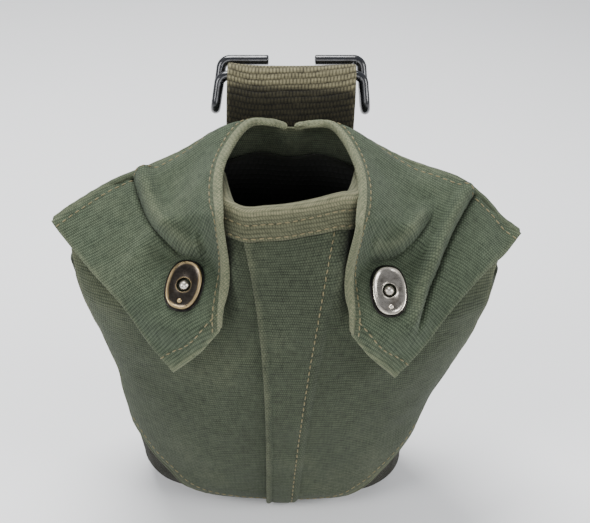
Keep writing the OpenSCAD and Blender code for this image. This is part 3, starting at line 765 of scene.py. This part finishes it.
finish(gusset, BOTTOM_CANVAS_PAINTED_SHADE, "pouch", ("gusset_band",))

# %% [markdown]
# ## The back
# The back panel is one piece. Its upper edge leans forward to meet the roots of the flaps, so the
# neck closes to a round opening. The felt behind it follows the same surface from inside.

# %% Back
def back_edge(k, drop=2.8):
    e = from_flap(curve_through(ROOT_EDGE, np.abs(k) * 0.9)) - drop * SNAP_DIR
    e[..., 0] *= np.where(k > 0, -1, 1)
    return e


def lean_run(k):
    return mix(30, 15, ease((np.abs(k) - 0.6) / 0.3))


def back_surface(k, share, drop=2.8):
    e = back_edge(k, drop)
    s = np.clip(e[..., 0] / half_width(e[..., 2]), -SEAM_S, SEAM_S)
    z = mix(bottom_seam(s), e[..., 2], share)
    p = back_wall(s, z)
    p[..., 1] = mix(p[..., 1], e[..., 1], ease((z - e[..., 2] + lean_run(k)) / lean_run(k)))
    return p


def back_piece(name, offset, thick, low, high, drop, material, stands_for, n=170, m=120):
    i, j = np.meshgrid(spaced(n, 150), spaced(m, 130), indexing="ij")
    skin = back_surface(1 - 2 * i, mix(low, high, j), drop)
    lift = offset + wall_waves(skin[..., 0], skin[..., 2]) * (1 - j)
    middle = skin + lift[..., None] * grid_normals(skin)
    uv = np.stack([skin[..., 0], skin[..., 2]], -1)
    return finish(cloth(name, middle, thick, uv), material, "pouch", stands_for)


back_piece("back_cloth", PLY_GAP + CANVAS / 2, CANVAS, 0, 1, 1.7, BODY_CANVAS, ("back_panel",))
back_piece("back_lining_felt", -CANVAS - 2 * PLY_GAP - LINING / 2 - 0.1, LINING, 0.06, 0.93, 2.8, FELT_PAINTED_SHADE,
           ("lining_back",), 90, 70)

# %% [markdown]
# ## Flaps
# Each flap is a slab over its own surface, finely divided so that its folds are real geometry. Its
# threads run along the hinge, so the weave shows as ribs that follow the shoulder.

# %% Flaps
def bend_on(piece, side):
    """Bakes the piece's placement into its mesh."""
    hinge = (HINGE_IN + HINGE_OUT) / 2 * np.array([side * -1, 1, 1])
    fall = FALL_DIR * np.array([side * -1, 1, 1])
    "left_flap" if side < 0 else "right_flap"
    tuple((hinge + 1.5 * fall) * MM)
    tuple((hinge + 13 * fall) * MM)
    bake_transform(piece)
    return piece


def both_sides(side):
    return "left" if side < 0 else "right"


for side in (-1, 1):
    u, w = np.meshgrid(spaced(190, 90), spaced(170, 78), indexing="ij")
    shape = flap_shape(u, w, side)
    middle = flap_point(u, w, side)
    order = 1 if side < 0 else -1
    away_hem = edge_distance(middle, ("j1",))[0]
    away, _, _ = edge_distance(middle, ("i1", "j1", "j0"))
    hem = 0.35 * ease((8.2 - away_hem) / 0.9) + 0.5 * bump_at(away_hem - 1.1, 1.2)
    rows = 0.3 * bump_at(away_hem - 7.2, 0.6)
    worn_and_lit = 0.95 * bump_at(away_hem, 2.0) + 0.5 * bump_at(away, 1.5) + 0.12 * ease((9 - away_hem) / 2)
    # The fold humps are painted paler as a painted highlight.
    for line, crease, hump, soft, early in FOLDS[side]:
        d, t = line_distance(shape[..., 0], shape[..., 1], line)
        worn_and_lit = worn_and_lit + 0.35 * bump_at(d - soft - 0.3, 1.6) * ease(t / 0.3) * ease((1 - t) / 0.16)
    sheet = [a[::order] for a in (middle, shape, hem - rows, worn_and_lit)]
    piece = cloth(f"flap_cloth_{both_sides(side)}", sheet[0], FLAP_T, sheet[1][..., :2], np.clip(sheet[3], 0, 1),
                  outer_more=sheet[2])
    finish(piece, FLAP_CANVAS)
    bend_on(piece, side)
    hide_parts(f"flap_{both_sides(side)}")

# %% [markdown]
# ## Bound edges and shoulder seams
# The neck edge of each flap is bound with a bias tape: one strip, folded round the edge and sewn
# through. Its cross-section is drawn once and carried along the edge. The shoulder seam, where the
# flap meets the back, is a rolled welt made in the same way.

# %% Bound edges
TAPE_W = 5.0


def tape_frame(w, side):
    """Points, normals and inward directions along the flap's neck edge, and its span."""
    step = 0.004
    p = flap_point(0 * w, w, side)
    normal = unit(np.cross(flap_point(step + 0 * w, w, side) - p, flap_point(0 * w, w + step, side) - p))
    normal = normal * (1 if side < 0 else -1)
    inward = unit(flap_point(0.03 + 0 * w, w, side) - p)
    span = np.linalg.norm(flap_point(0.2 + 0 * w, w, side) - p, axis=1) / 0.2
    return p, normal, inward, span


for side in (-1, 1):
    w = np.linspace(0.006, 0.99, 260)
    p, normal, inward, span = tape_frame(w, side)
    rings = {}
    for key, t in (("outer", FLAP_T / 2 + 0.8), ("inner", FLAP_T / 2 + 0.12)):
        ring = []
        for d in (TAPE_W, 4.7, 4.4, 4.1, 3.6, 3.0, 2.4, 2.0, 1.75, 1.5, 1.0, 0.5):
            q = flap_point(d / span, w, side)
            puff = (0.25 * math.exp(-((d - 0.9) / 0.8) ** 2) - 0.4 * float(ease((d - 1.5) / 0.6))
                    - 0.1 * math.exp(-((d - 4.3) / 0.4) ** 2))
            ring.append(q + (t + puff) * normal)
        for a in np.linspace(0, math.pi, 11):
            ring.append(p + t * (math.cos(a) * normal - math.sin(a) * inward))
        for d in (0.7, 1.4, 2.8, 4.2, TAPE_W):
            ring.append(flap_point(d / span, w, side) - t * normal)
        rings[key] = np.stack(ring, 1)
    across = np.arange(rings["outer"].shape[1])
    worn_and_lit = np.broadcast_to(0.1 + 0.85 * ease((across - 6.5) / 2) * ease((26 - across) / 4),
                           rings["outer"].shape[:2])
    tape = carried(f"neck_tape_{both_sides(side)}", rings["outer"], rings["inner"], worn_and_lit, side < 0)
    finish(tape, EDGE_TAPE)
    bend_on(tape, side)
    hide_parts(f"flap_binding_{both_sides(side)}")


def welt(name, path, radius, material, body=None, side=None, sides=14, worn_and_lit=0.4):
    """A round roll of cloth along a path, closed at both ends."""
    run = unit(np.gradient(path, axis=0))
    a = unit(np.cross(run, np.array([0.05, 0.1, 1.0])))
    b = np.cross(run, a)
    ends = np.concatenate([[0.05, 0.6, 0.9], np.ones(len(path) - 6), [0.9, 0.6, 0.05]])
    turn = np.linspace(0, 2 * math.pi, sides, endpoint=False)
    r = radius * ends[:, None] * (1 + 0.05 * waves(np.arange(len(path))[:, None] * 1.0, turn[None] * 2, 9, 5))
    ring = path[:, None] + r[..., None] * (np.cos(turn)[None, :, None] * a[:, None]
                                           + np.sin(turn)[None, :, None] * b[:, None])
    n = len(path)
    faces = tube_faces(n, sides)
    along = np.cumsum(np.linalg.norm(np.diff(path, axis=0, prepend=path[:1]), axis=1))
    uv = np.stack(np.broadcast_arrays(along[:, None], turn[None] * radius), 2).reshape(-1, 2)
    piece = finish(new_piece(name, ring.reshape(-1, 3), faces, uv, np.full(n * sides, worn_and_lit)), material, body)
    if side:
        bend_on(piece, side)
    return piece


for side in (-1, 1):
    u = np.linspace(0.03, 0.995, 150)
    root = flap_point(u, 0 * u + 0.004, side)
    down = SNAP_DIR * np.array([-side, 1, 1])
    welt(f"shoulder_welt_{both_sides(side)}", root - 0.75 * down, 1.45, FLAP_CANVAS, side=side, worn_and_lit=0.45)

seam_z = np.linspace(114, 42, 60)
seam_s = np.linspace(-SEAM_S, SEAM_S, 200)
for name, wall in (("front_seam_welt", front_wall), ("back_seam_welt", back_wall)):
    s = np.concatenate([0 * seam_z - SEAM_S, seam_s, 0 * seam_z + SEAM_S])
    z = np.concatenate([seam_z, bottom_seam(seam_s), seam_z[::-1]])
    path = wall(s, z)
    outward = unit(path - np.array([0, CENTRE_Y, 0]) - np.stack([0 * z, 0 * z, z], 1))
    stand = (0.6 + wall_waves(path[:, 0], path[:, 2]))[:, None]
    welt(name, path + stand * outward, 1.15, BODY_CANVAS, "pouch", worn_and_lit=0.5)

# %% [markdown]
# ## Hanger
# The hanger is one web strap. It is sewn flat on the back, rises behind the neck, folds over the
# wire and comes back down in front of itself. The strap is cloth too, only thicker, with a coarse
# weave.

# %% Hanger
WEB_W, WEB = 50.8, 2.2
EYE = np.array([30, 177.6])
WIRE_R, EYE_PATH_R = 2.0, 3.5


def share_at(x):
    lo, hi = np.zeros_like(x), np.ones_like(x)
    for _ in range(14):
        mid = (lo + hi) / 2
        inside = np.abs(back_edge(mid)[..., 0]) < x
        lo, hi = np.where(inside, mid, lo), np.where(inside, hi, mid)
    return lo


def back_skin(x, z):
    k = share_at(np.abs(x))
    e = back_edge(k)
    y = CENTRE_Y + back_reach(z) * round_off(x / half_width(z))
    return mix(y, e[..., 1], ease((z - e[..., 2] + lean_run(k)) / lean_run(k)))


def strap_line():
    """The strap's centre line above the pouch, as [y, z]."""
    over = [EYE + EYE_PATH_R * np.array([math.cos(a), math.sin(a)])
            for a in np.radians(np.linspace(-40, 140, 16))]
    return np.array([[23.1, 153.5], [23.15, 157], [23.9, 163], [25.0, 169.7], [28.3, 172.7], *over,
                     [24.3, 175.5], [22.3, 171], [21.6, 166], [20.7, 159], [20.4, 154.2]])


def tilted(p):
    """The hanger stands a little askew on the back."""
    p = np.array(p, float)
    p[..., 2] += 0.036 * p[..., 0] * ease((p[..., 2] - 150) / 20)
    return p


line = curve_through(strap_line(), np.linspace(0, 1, 240))
x = mix(WEB_W / 2, -WEB_W / 2, spaced(60, WEB_W))
tail_z = mix(108, 149, spaced(60, 40, high=False))
tail_y = np.stack([back_skin(x, z + 0 * x) for z in tail_z], 1) + 2.9
join = ease((tail_z - 138) / 12)
tail = np.stack(np.broadcast_arrays(x[:, None], tail_y, tail_z[None]), 2)
tail[..., 1] = mix(tail[..., 1], tail[..., 1].max(), join[None] * 0.3)
rise = np.stack(np.broadcast_arrays(x[:, None], line[None, :, 0], line[None, :, 1]), 2)
strap = np.concatenate([tail, rise], 1)
for _ in range(3):
    strap[:, 1:-1] = (strap[:, :-2] + 2 * strap[:, 1:-1] + strap[:, 2:]) / 4
strap = strap + (0.25 * waves(strap[..., 0], strap[..., 2], 18, 41))[..., None] * np.array([0, 1, 0]) * 0.5
strap[..., 2] -= 0.8 * (1 - (strap[..., 0] / 25) ** 2) * ease((strap[..., 2] - 165) / 10)
strap = tilted(strap)
away = edge_distance(strap, ("i0", "i1"))[0]
# The top of the fold, which faces up, is painted pale as painted light.
painted_top_light = ease((strap[..., 2] - 173.5) / 3)
worn_and_lit = np.clip(0.25 * bump_at(away, 1.4) + 0.8 * painted_top_light, 0, 1)
hanger = cloth("hanger_strap", strap, WEB, None, worn_and_lit)
finish(hanger, STRAP_WEB_PAINTED_LIGHT_AND_SHADE)
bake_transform(hanger)
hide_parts("hanger_tail", "hanger_loop")

# %% [markdown]
# ## Belt hook
# The hook is one bent steel wire, painted black. A tube follows its path: across through the fold,
# down each leg, round, and up again, with tips that turn in. Arcs join the straight runs.

# %% Belt hook
def arc(centre, a, b, start, end, steps=12):
    t = np.radians(np.linspace(start, end, steps))
    return np.array(centre) + np.cos(t)[:, None] * np.array(a) + np.sin(t)[:, None] * np.array(b)


CORNER, FOOT, LEG_X = 3.0, 3.4, WEB_W / 2 + WIRE_R + 1.2
INNER_X, LEG_DOWN, LEG_UP, TIP = LEG_X - CORNER, 10, 6.1, 9.5
half_hook = np.concatenate([
    [[0, 0, 0]],
    arc([INNER_X, 0, -CORNER], [0, 0, CORNER], [CORNER, 0, 0], 0, 90),
    arc([LEG_X, FOOT, -LEG_DOWN], [0, -FOOT, 0], [0, 0, -FOOT], 0, 180, 16),
    arc([INNER_X, 2 * FOOT, LEG_UP - CORNER], [CORNER, 0, 0], [0, 0, CORNER], 0, 90),
    [[TIP + 0.7, 2 * FOOT, LEG_UP], [TIP + 0.2, 2 * FOOT, LEG_UP], [TIP, 2 * FOOT, LEG_UP]]])
path = np.concatenate([half_hook[::-1] * np.array([-1, 1, 1]), half_hook[1:]])
steps = np.concatenate([[0], np.cumsum(np.linalg.norm(np.diff(path, axis=0), axis=1))])
even = np.unique(np.concatenate([steps, np.arange(0, steps[-1], 1.2)]))
path = np.stack([np.interp(even, steps, path[:, k]) for k in range(3)], 1)
lean = math.radians(-20)
turned = path @ np.array([[1, 0, 0], [0, math.cos(lean), math.sin(lean)], [0, -math.sin(lean), math.cos(lean)]])
path = turned + np.array([0, EYE[0], EYE[1]])
path[:, 0] *= 1 - 0.0045 * (path[:, 2] - EYE[1] + 2)
path = tilted(path)


def wire(name, path, radius, sides=22):
    """A round wire with blunt, slightly rounded ends; its section doesn't twist."""
    run = unit(np.gradient(path, axis=0))
    a = unit(np.cross(run[0], [0, 0, 1.0]))
    turn = np.linspace(0, 2 * math.pi, sides, endpoint=False)
    rings = []
    for i, (p, r) in enumerate(zip(path, run)):
        a = unit(a - (a @ r) * r)
        b = np.cross(r, a)
        k = min(i, len(path) - 1 - i)
        size = radius * {0: 0.72, 1: 0.94}.get(k, 1)
        rings.append(p + size * (np.cos(turn)[:, None] * a + np.sin(turn)[:, None] * b))
    n = len(path)
    faces = tube_faces(n, sides)
    return new_piece(name, np.concatenate(rings), faces, worn_and_lit=np.zeros(n * sides), soft=False)


finish(wire("hook_wire", path, WIRE_R), BLACK_IRON, "hook", ("belt_hook",))

# %% [markdown]
# ## Snap fasteners
# Each snap is a stud on the pouch and a socket in the flap. The socket's face is a pressed oval
# plate with a rolled rim, a round hole for the stud's ball and a small raised dot. A loft of rings
# makes it: ovals outside that change to circles at the hole, closed like a doughnut.

# %% Snaps
def snap_place(local, side, tilt):
    """From the snap's own axes to the object's; local x points down the flap."""
    t = math.radians(tilt)
    lean, head = math.acos(SNAP_DIR[2]), math.atan2(SNAP_DIR[1], SNAP_DIR[0])
    turn = Matrix.Rotation(head, 3, "Z") @ Matrix.Rotation(lean, 3, "Y") @ Matrix.Rotation(t, 3, "Z")
    p = local @ np.array(turn).T + SNAP_AT
    return p * np.array([-side, 1, 1])


def oval_ring(length, width, height, count=96):
    """A ring with round ends and straight sides, even in angle."""
    a = np.linspace(0, 2 * math.pi, count, endpoint=False)
    r, straight = width / 2, (length - width) / 2
    power = 2.35
    x = np.sign(np.cos(a)) * np.abs(np.cos(a)) ** (2 / power) * (r + straight)
    y = np.sign(np.sin(a)) * np.abs(np.sin(a)) ** (2 / power) * r
    return np.stack([x, y, 0 * a + height], 1)


def round_ring(radius, height, count=96):
    a = np.linspace(0, 2 * math.pi, count, endpoint=False)
    return np.stack([np.cos(a) * radius, np.sin(a) * radius, 0 * a + height], 1)


def loft(rings, closed):
    n, m = len(rings), len(rings[0])
    faces = [[i * m + j, i * m + (j + 1) % m, (i + 1) % n * m + (j + 1) % m, (i + 1) % n * m + j]
             for i in range(n if closed else n - 1) for j in range(m)]
    if not closed:
        faces += [list(range(m))[::-1], [(n - 1) * m + j for j in range(m)]]
    return np.concatenate(rings), faces


def shells_together(parts):
    points, faces, worn_and_lit = [], [], []
    for p, f, w in parts:
        start = sum(len(q) for q in points)
        faces += [[k + start for k in face] for face in f]
        points.append(p)
        worn_and_lit.append(w)
    return np.concatenate(points), faces, np.concatenate(worn_and_lit)


def snap_piece(name, parts, side, tilt, material, body, stands_for=()):
    points, faces, worn_and_lit = shells_together(parts)
    if side > 0:
        faces = [f[::-1] for f in faces]
    piece = new_piece(name, snap_place(points, side, tilt), faces, worn_and_lit=worn_and_lit, soft=False)
    return finish(piece, material, body, stands_for)


SEAT = FLAP_T / 2 + 0.1
PLATE_L, PLATE_W = 20.0, 14.4
rim_steps = [(0.75, 0.72, 0), (0.72, 1.2, 0.1), (0.82, 1.6, 0.35), (1.05, 1.85, 0.8),
             (1.4, 1.9, 0.9), (1.75, 1.8, 0.45), (2.1, 1.6, 0.05), (2.6, 1.48, 0), (3.6, 1.45, 0)]
hole_steps = [(3.3, 1.5, 0), (3.05, 1.62, 0.15), (2.9, 1.7, 0.35), (2.75, 1.68, 0.3), (2.66, 1.5, 0), (2.65, 0.2, 0),
              (2.65, -1.8, 0)]
for side, tilt, plate, body in ((-1, -5, BRONZE, "left_flap"), (1, 2, NICKEL, "right_flap")):
    rings, wear_and_lit_amount = [], []
    for inset, h, w in [(2.2, 0.3, 0), *rim_steps]:
        rings.append(oval_ring(PLATE_L - 2 * inset, PLATE_W - 2 * inset, SEAT + h))
        wear_and_lit_amount.append(np.full(96, float(w)))
    for r, h, w in hole_steps:
        rings.append(round_ring(r, SEAT + h))
        wear_and_lit_amount.append(np.full(96, float(w)))
    rings.append(round_ring(3.6, SEAT - 1.8))
    rings.append(round_ring(3.6, SEAT + 0.1))
    wear_and_lit_amount += [np.zeros(96)] * 2
    points, faces = loft(rings, True)
    dot = [round_ring(r, SEAT + h, 24) + np.array([PLATE_L / 2 - 3.8, 0, 0])
           for r, h in ((0.95, 1.3), (0.93, 1.75), (0.75, 1.98), (0.4, 2.1), (0.08, 2.14))]
    dot_points, dot_faces = loft(dot, False)
    snap_piece(f"snap_plate_{both_sides(side)}", [(points, faces, np.concatenate(wear_and_lit_amount)),
               (dot_points, dot_faces, np.full(len(dot_points), 0.9))], side, tilt, plate, body,
               (f"socket_cap_{both_sides(side)}",))
    flange = [oval_ring(PLATE_L - 2 * i, PLATE_W - 2 * i, SEAT + h) for i, h in
              ((0.35, 0.0), (0.05, 0.15), (0, 0.4), (0.12, 0.62), (0.4, 0.72),
               (1.0, 0.68), (1.45, 0.6), (2.4, 0.55), (2.6, 0.1))]
    points, faces = loft(flange, True)
    snap_piece(f"snap_flange_{both_sides(side)}", [(points, faces, np.zeros(len(points)))],
               side, tilt, DARK_RING, body)
    top_h = FLAP_T / 2 + 0.1 + 1.9 + 0.55
    ball = [(0.05, top_h), (0.5, top_h - 0.03)] + [
        (2.1 * math.sin(a), top_h - 2.1 + 2.1 * math.cos(a)) for a in np.radians([25, 38, 52, 66, 80, 94, 108, 120])]
    stud = ball + [(1.6, top_h - 3.6), (1.6, PANEL_H + PLY + 0.75), (1.9, PANEL_H + PLY + 0.68), (4.2, PANEL_H + PLY + 0.6),
                   (4.6, PANEL_H + PLY + 0.35), (4.5, PANEL_H + PLY + 0.08), (1.6, PANEL_H + PLY + 0.05), (1.6, PANEL_H - 1.0),
                   (2.6, PANEL_H - 1.05), (2.6, PANEL_H - 1.4), (0.1, PANEL_H - 1.5)]
    points, faces = loft([round_ring(r, h, 40) for r, h in stud[::-1]], False)
    snap_piece(f"snap_stud_{both_sides(side)}", [(points, faces, np.zeros(len(points)))], side, 0, STEEL, "pouch",
               (f"stud_{both_sides(side)}",))

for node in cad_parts.values():
    if not node.hide_render:
        node.data.materials.clear()
        node.data.materials.append(NICKEL if "spring" in node.name else DARK_RING)

# %% [markdown]
# ## Stitches with Geometry Nodes
# A seam has hundreds of the same stitch, which is work for Geometry Nodes. A guide line carries the
# cloth's normal. The tree turns it to a curve, sets points one stitch apart, and puts a small
# plump thread on each, laid along the seam and square to the cloth. The stitches are then made
# real, given their material, and kept as a plain mesh.

# %% Stitch tree
def stitch_tree():
    tree = bpy.data.node_groups.new("row_of_stitches", "GeometryNodeTree")
    face = tree.interface
    face.new_socket("Guide", in_out="INPUT", socket_type="NodeSocketGeometry")
    for name, value in (("Pitch", 0.0027), ("Stitch length", 0.0021), ("Thread radius", 0.00034)):
        face.new_socket(name, in_out="INPUT", socket_type="NodeSocketFloat").default_value = value
    face.new_socket("Thread", in_out="INPUT", socket_type="NodeSocketMaterial")
    face.new_socket("Stitches", in_out="OUTPUT", socket_type="NodeSocketGeometry")

    def add(kind, settings=(), **links):
        node = tree.nodes.new(kind)
        for key, value in dict(settings).items():
            setattr(node, key, value)
        for key, value in links.items():
            socket = node.inputs[key.replace("_", " ")]
            if isinstance(value, bpy.types.NodeSocket):
                tree.links.new(value, socket)
            else:
                socket.default_value = value
        return node

    given = add("NodeGroupInput").outputs
    line = add("GeometryNodeMeshToCurve", Mesh=given["Guide"])
    even = add("GeometryNodeResampleCurve", {"mode": "LENGTH"}, Curve=line.outputs[0], Length=given["Pitch"])
    normal = add("GeometryNodeInputNamedAttribute", {"data_type": "FLOAT_VECTOR"}, Name="cloth_normal")
    tangent = add("GeometryNodeInputTangent")
    facing = add("FunctionNodeAxesToRotation", {"primary_axis": "X", "secondary_axis": "Z"},
                 Primary_Axis=tangent.outputs[0], Secondary_Axis=normal.outputs[0])
    sway = add("FunctionNodeRandomValue", {"data_type": "FLOAT"}, Seed=11)
    sway.inputs[2].default_value, sway.inputs[3].default_value = -0.12, 0.12
    angle = add("ShaderNodeCombineXYZ", Z=sway.outputs[1])
    turn = add("FunctionNodeRotateRotation", {"rotation_space": "LOCAL"}, Rotation=facing.outputs[0])
    tree.links.new(angle.outputs[0], turn.inputs[1])
    thread = add("GeometryNodeMeshUVSphere", Segments=8, Rings=5, Radius=1.0)
    half = add("ShaderNodeMath", {"operation": "MULTIPLY"})
    tree.links.new(given["Stitch length"], half.inputs[0])
    half.inputs[1].default_value = 0.5
    size = add("ShaderNodeCombineXYZ", X=half.outputs[0], Y=given["Thread radius"], Z=given["Thread radius"])
    lay = add("GeometryNodeInstanceOnPoints", Points=even.outputs[0], Instance=thread.outputs[0],
              Rotation=turn.outputs[0], Scale=size.outputs[0])
    real = add("GeometryNodeRealizeInstances", Geometry=lay.outputs[0])
    painted = add("GeometryNodeSetMaterial", Geometry=real.outputs[0], Material=given["Thread"])
    smooth = add("GeometryNodeSetShadeSmooth", Geometry=painted.outputs[0])
    end = add("NodeGroupOutput")
    tree.links.new(smooth.outputs[0], end.inputs[0])
    return tree


STITCH_TREE = stitch_tree()


def stitched(name, rows, pitch=2.9, length=2.15, thread=0.27):
    """Rows of [points, normals] in mm become one piece of stitches."""
    points, edges, normals = [], [], []
    for p, nrm in rows:
        start = sum(len(q) for q in points)
        edges += [(start + k, start + k + 1) for k in range(len(p) - 1)]
        points.append(p)
        normals.append(nrm)
    mesh = bpy.data.meshes.new(name + "_guide")
    mesh.from_pydata((settle(np.concatenate(points)) * MM).tolist(), edges, [])
    carried_normal = mesh.attributes.new("cloth_normal", "FLOAT_VECTOR", "POINT")
    carried_normal.data.foreach_set("vector", np.concatenate(normals).astype(np.float32).ravel())
    guide = bpy.data.objects.new(name + "_guide", mesh)
    bpy.context.scene.collection.objects.link(guide)
    nodes = guide.modifiers.new("stitches", "NODES")
    nodes.node_group = STITCH_TREE
    sockets = {s.name: s.identifier for s in STITCH_TREE.interface.items_tree if s.in_out == "INPUT"}
    nodes[sockets["Pitch"]], nodes[sockets["Stitch length"]] = pitch * MM, length * MM
    nodes[sockets["Thread radius"]], nodes[sockets["Thread"]] = thread * MM, THREAD
    bpy.context.view_layer.update()
    plain = bpy.data.meshes.new_from_object(guide.evaluated_get(bpy.context.evaluated_depsgraph_get()))
    bpy.data.objects.remove(guide)
    plain.name = name
    piece = bpy.data.objects.new(name, plain)
    bpy.context.scene.collection.objects.link(piece)
    print(name, len(plain.polygons), "faces")
    return piece


def with_normals(points, out):
    return points, np.broadcast_to(unit(out), points.shape)

# %% Stitch rows on the pouch
def wall_row(s, z, lift):
    p = front_wall(s, z)
    normal = unit(np.cross(front_wall(s + 0.01, z) - p, front_wall(s, z + 0.5) - p))
    return p + (lift + wall_waves(p[:, 0], p[:, 2]))[:, None] * normal, normal


rows = []
w = np.linspace(0.015, 0.915, 160)
s = lap_right(w) - 0.012
z = mix(bottom_seam(s), front_top(s), w)
rows.append(wall_row(s, z, PLY_GAP + CANVAS + PLY - 0.35 + 0 * s))
s = np.linspace(-reach + 0.01, reach - 0.01, 120)
for down in (4.6, 9.8):
    rows.append(wall_row(s, front_top(s) - down, lip_out(s) + PLY_GAP + 1.0 - 0.08))
for lo, hi in ((-0.92, -0.1), (0.12, 0.92)):
    s = np.linspace(lo, hi, 120)
    rows.append(wall_row(s, bottom_seam(s) + 4.5 + 2 * np.abs(s) ** 3, PLY_GAP + CANVAS + 0.02 + 0 * s))
pouch_rows = stitched("pouch_stitches", rows)
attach(pouch_rows, "pouch")

# %% Stitch rows on the flaps
for side in (-1, 1):
    rows = []
    w = np.linspace(0.06, 0.975, 200)
    p, normal, inward, span = tape_frame(w, side)
    rows.append((flap_point(4.3 / span, w, side) + (FLAP_T / 2 + 0.42) * normal, normal))
    for u, edge, near, inset, lift in ((np.linspace(0.16, 0.985, 160), 0, 0.1, 3.2, 0.03),
                                       (np.linspace(0.06, 0.97, 70), 1, 0.9, 7.2, 0.28)):
        tenth = flap_point(u, 0 * u + near, side) - flap_point(u, 0 * u + edge, side)
        depth = inset / np.linalg.norm(tenth, axis=1) * 0.1
        w = 1 - depth if edge else depth
        p = flap_point(u, w, side)
        normal = unit(np.cross(flap_point(u + 0.004, w, side) - p, flap_point(u, w + 0.004, side) - p))
        normal = normal * (1 if side < 0 else -1)
        rows.append((p + (FLAP_T / 2 + lift) * normal, normal))
    piece = stitched(f"flap_stitches_{both_sides(side)}", rows)
    bend_on(piece, side)

# %% Stitch rows on the hanger's tail
rows = []
corners = [(-21, 112), (21, 112), (21, 134), (-21, 134), (-21, 112), (21, 134), (21, 112), (-21, 134)]
for (x0, z0), (x1, z1) in zip(corners, corners[1:]):
    x, z = np.linspace(x0, x1, 30), np.linspace(z0, z1, 30)
    rows.append(with_normals(np.stack([x, back_skin(x, z) + 2.9 + WEB / 2 + 0.05, z], 1), np.array([0, 1.0, 0])))
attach(stitched("tail_stitches", rows, 3.2, 2.5, 0.42), "pouch")
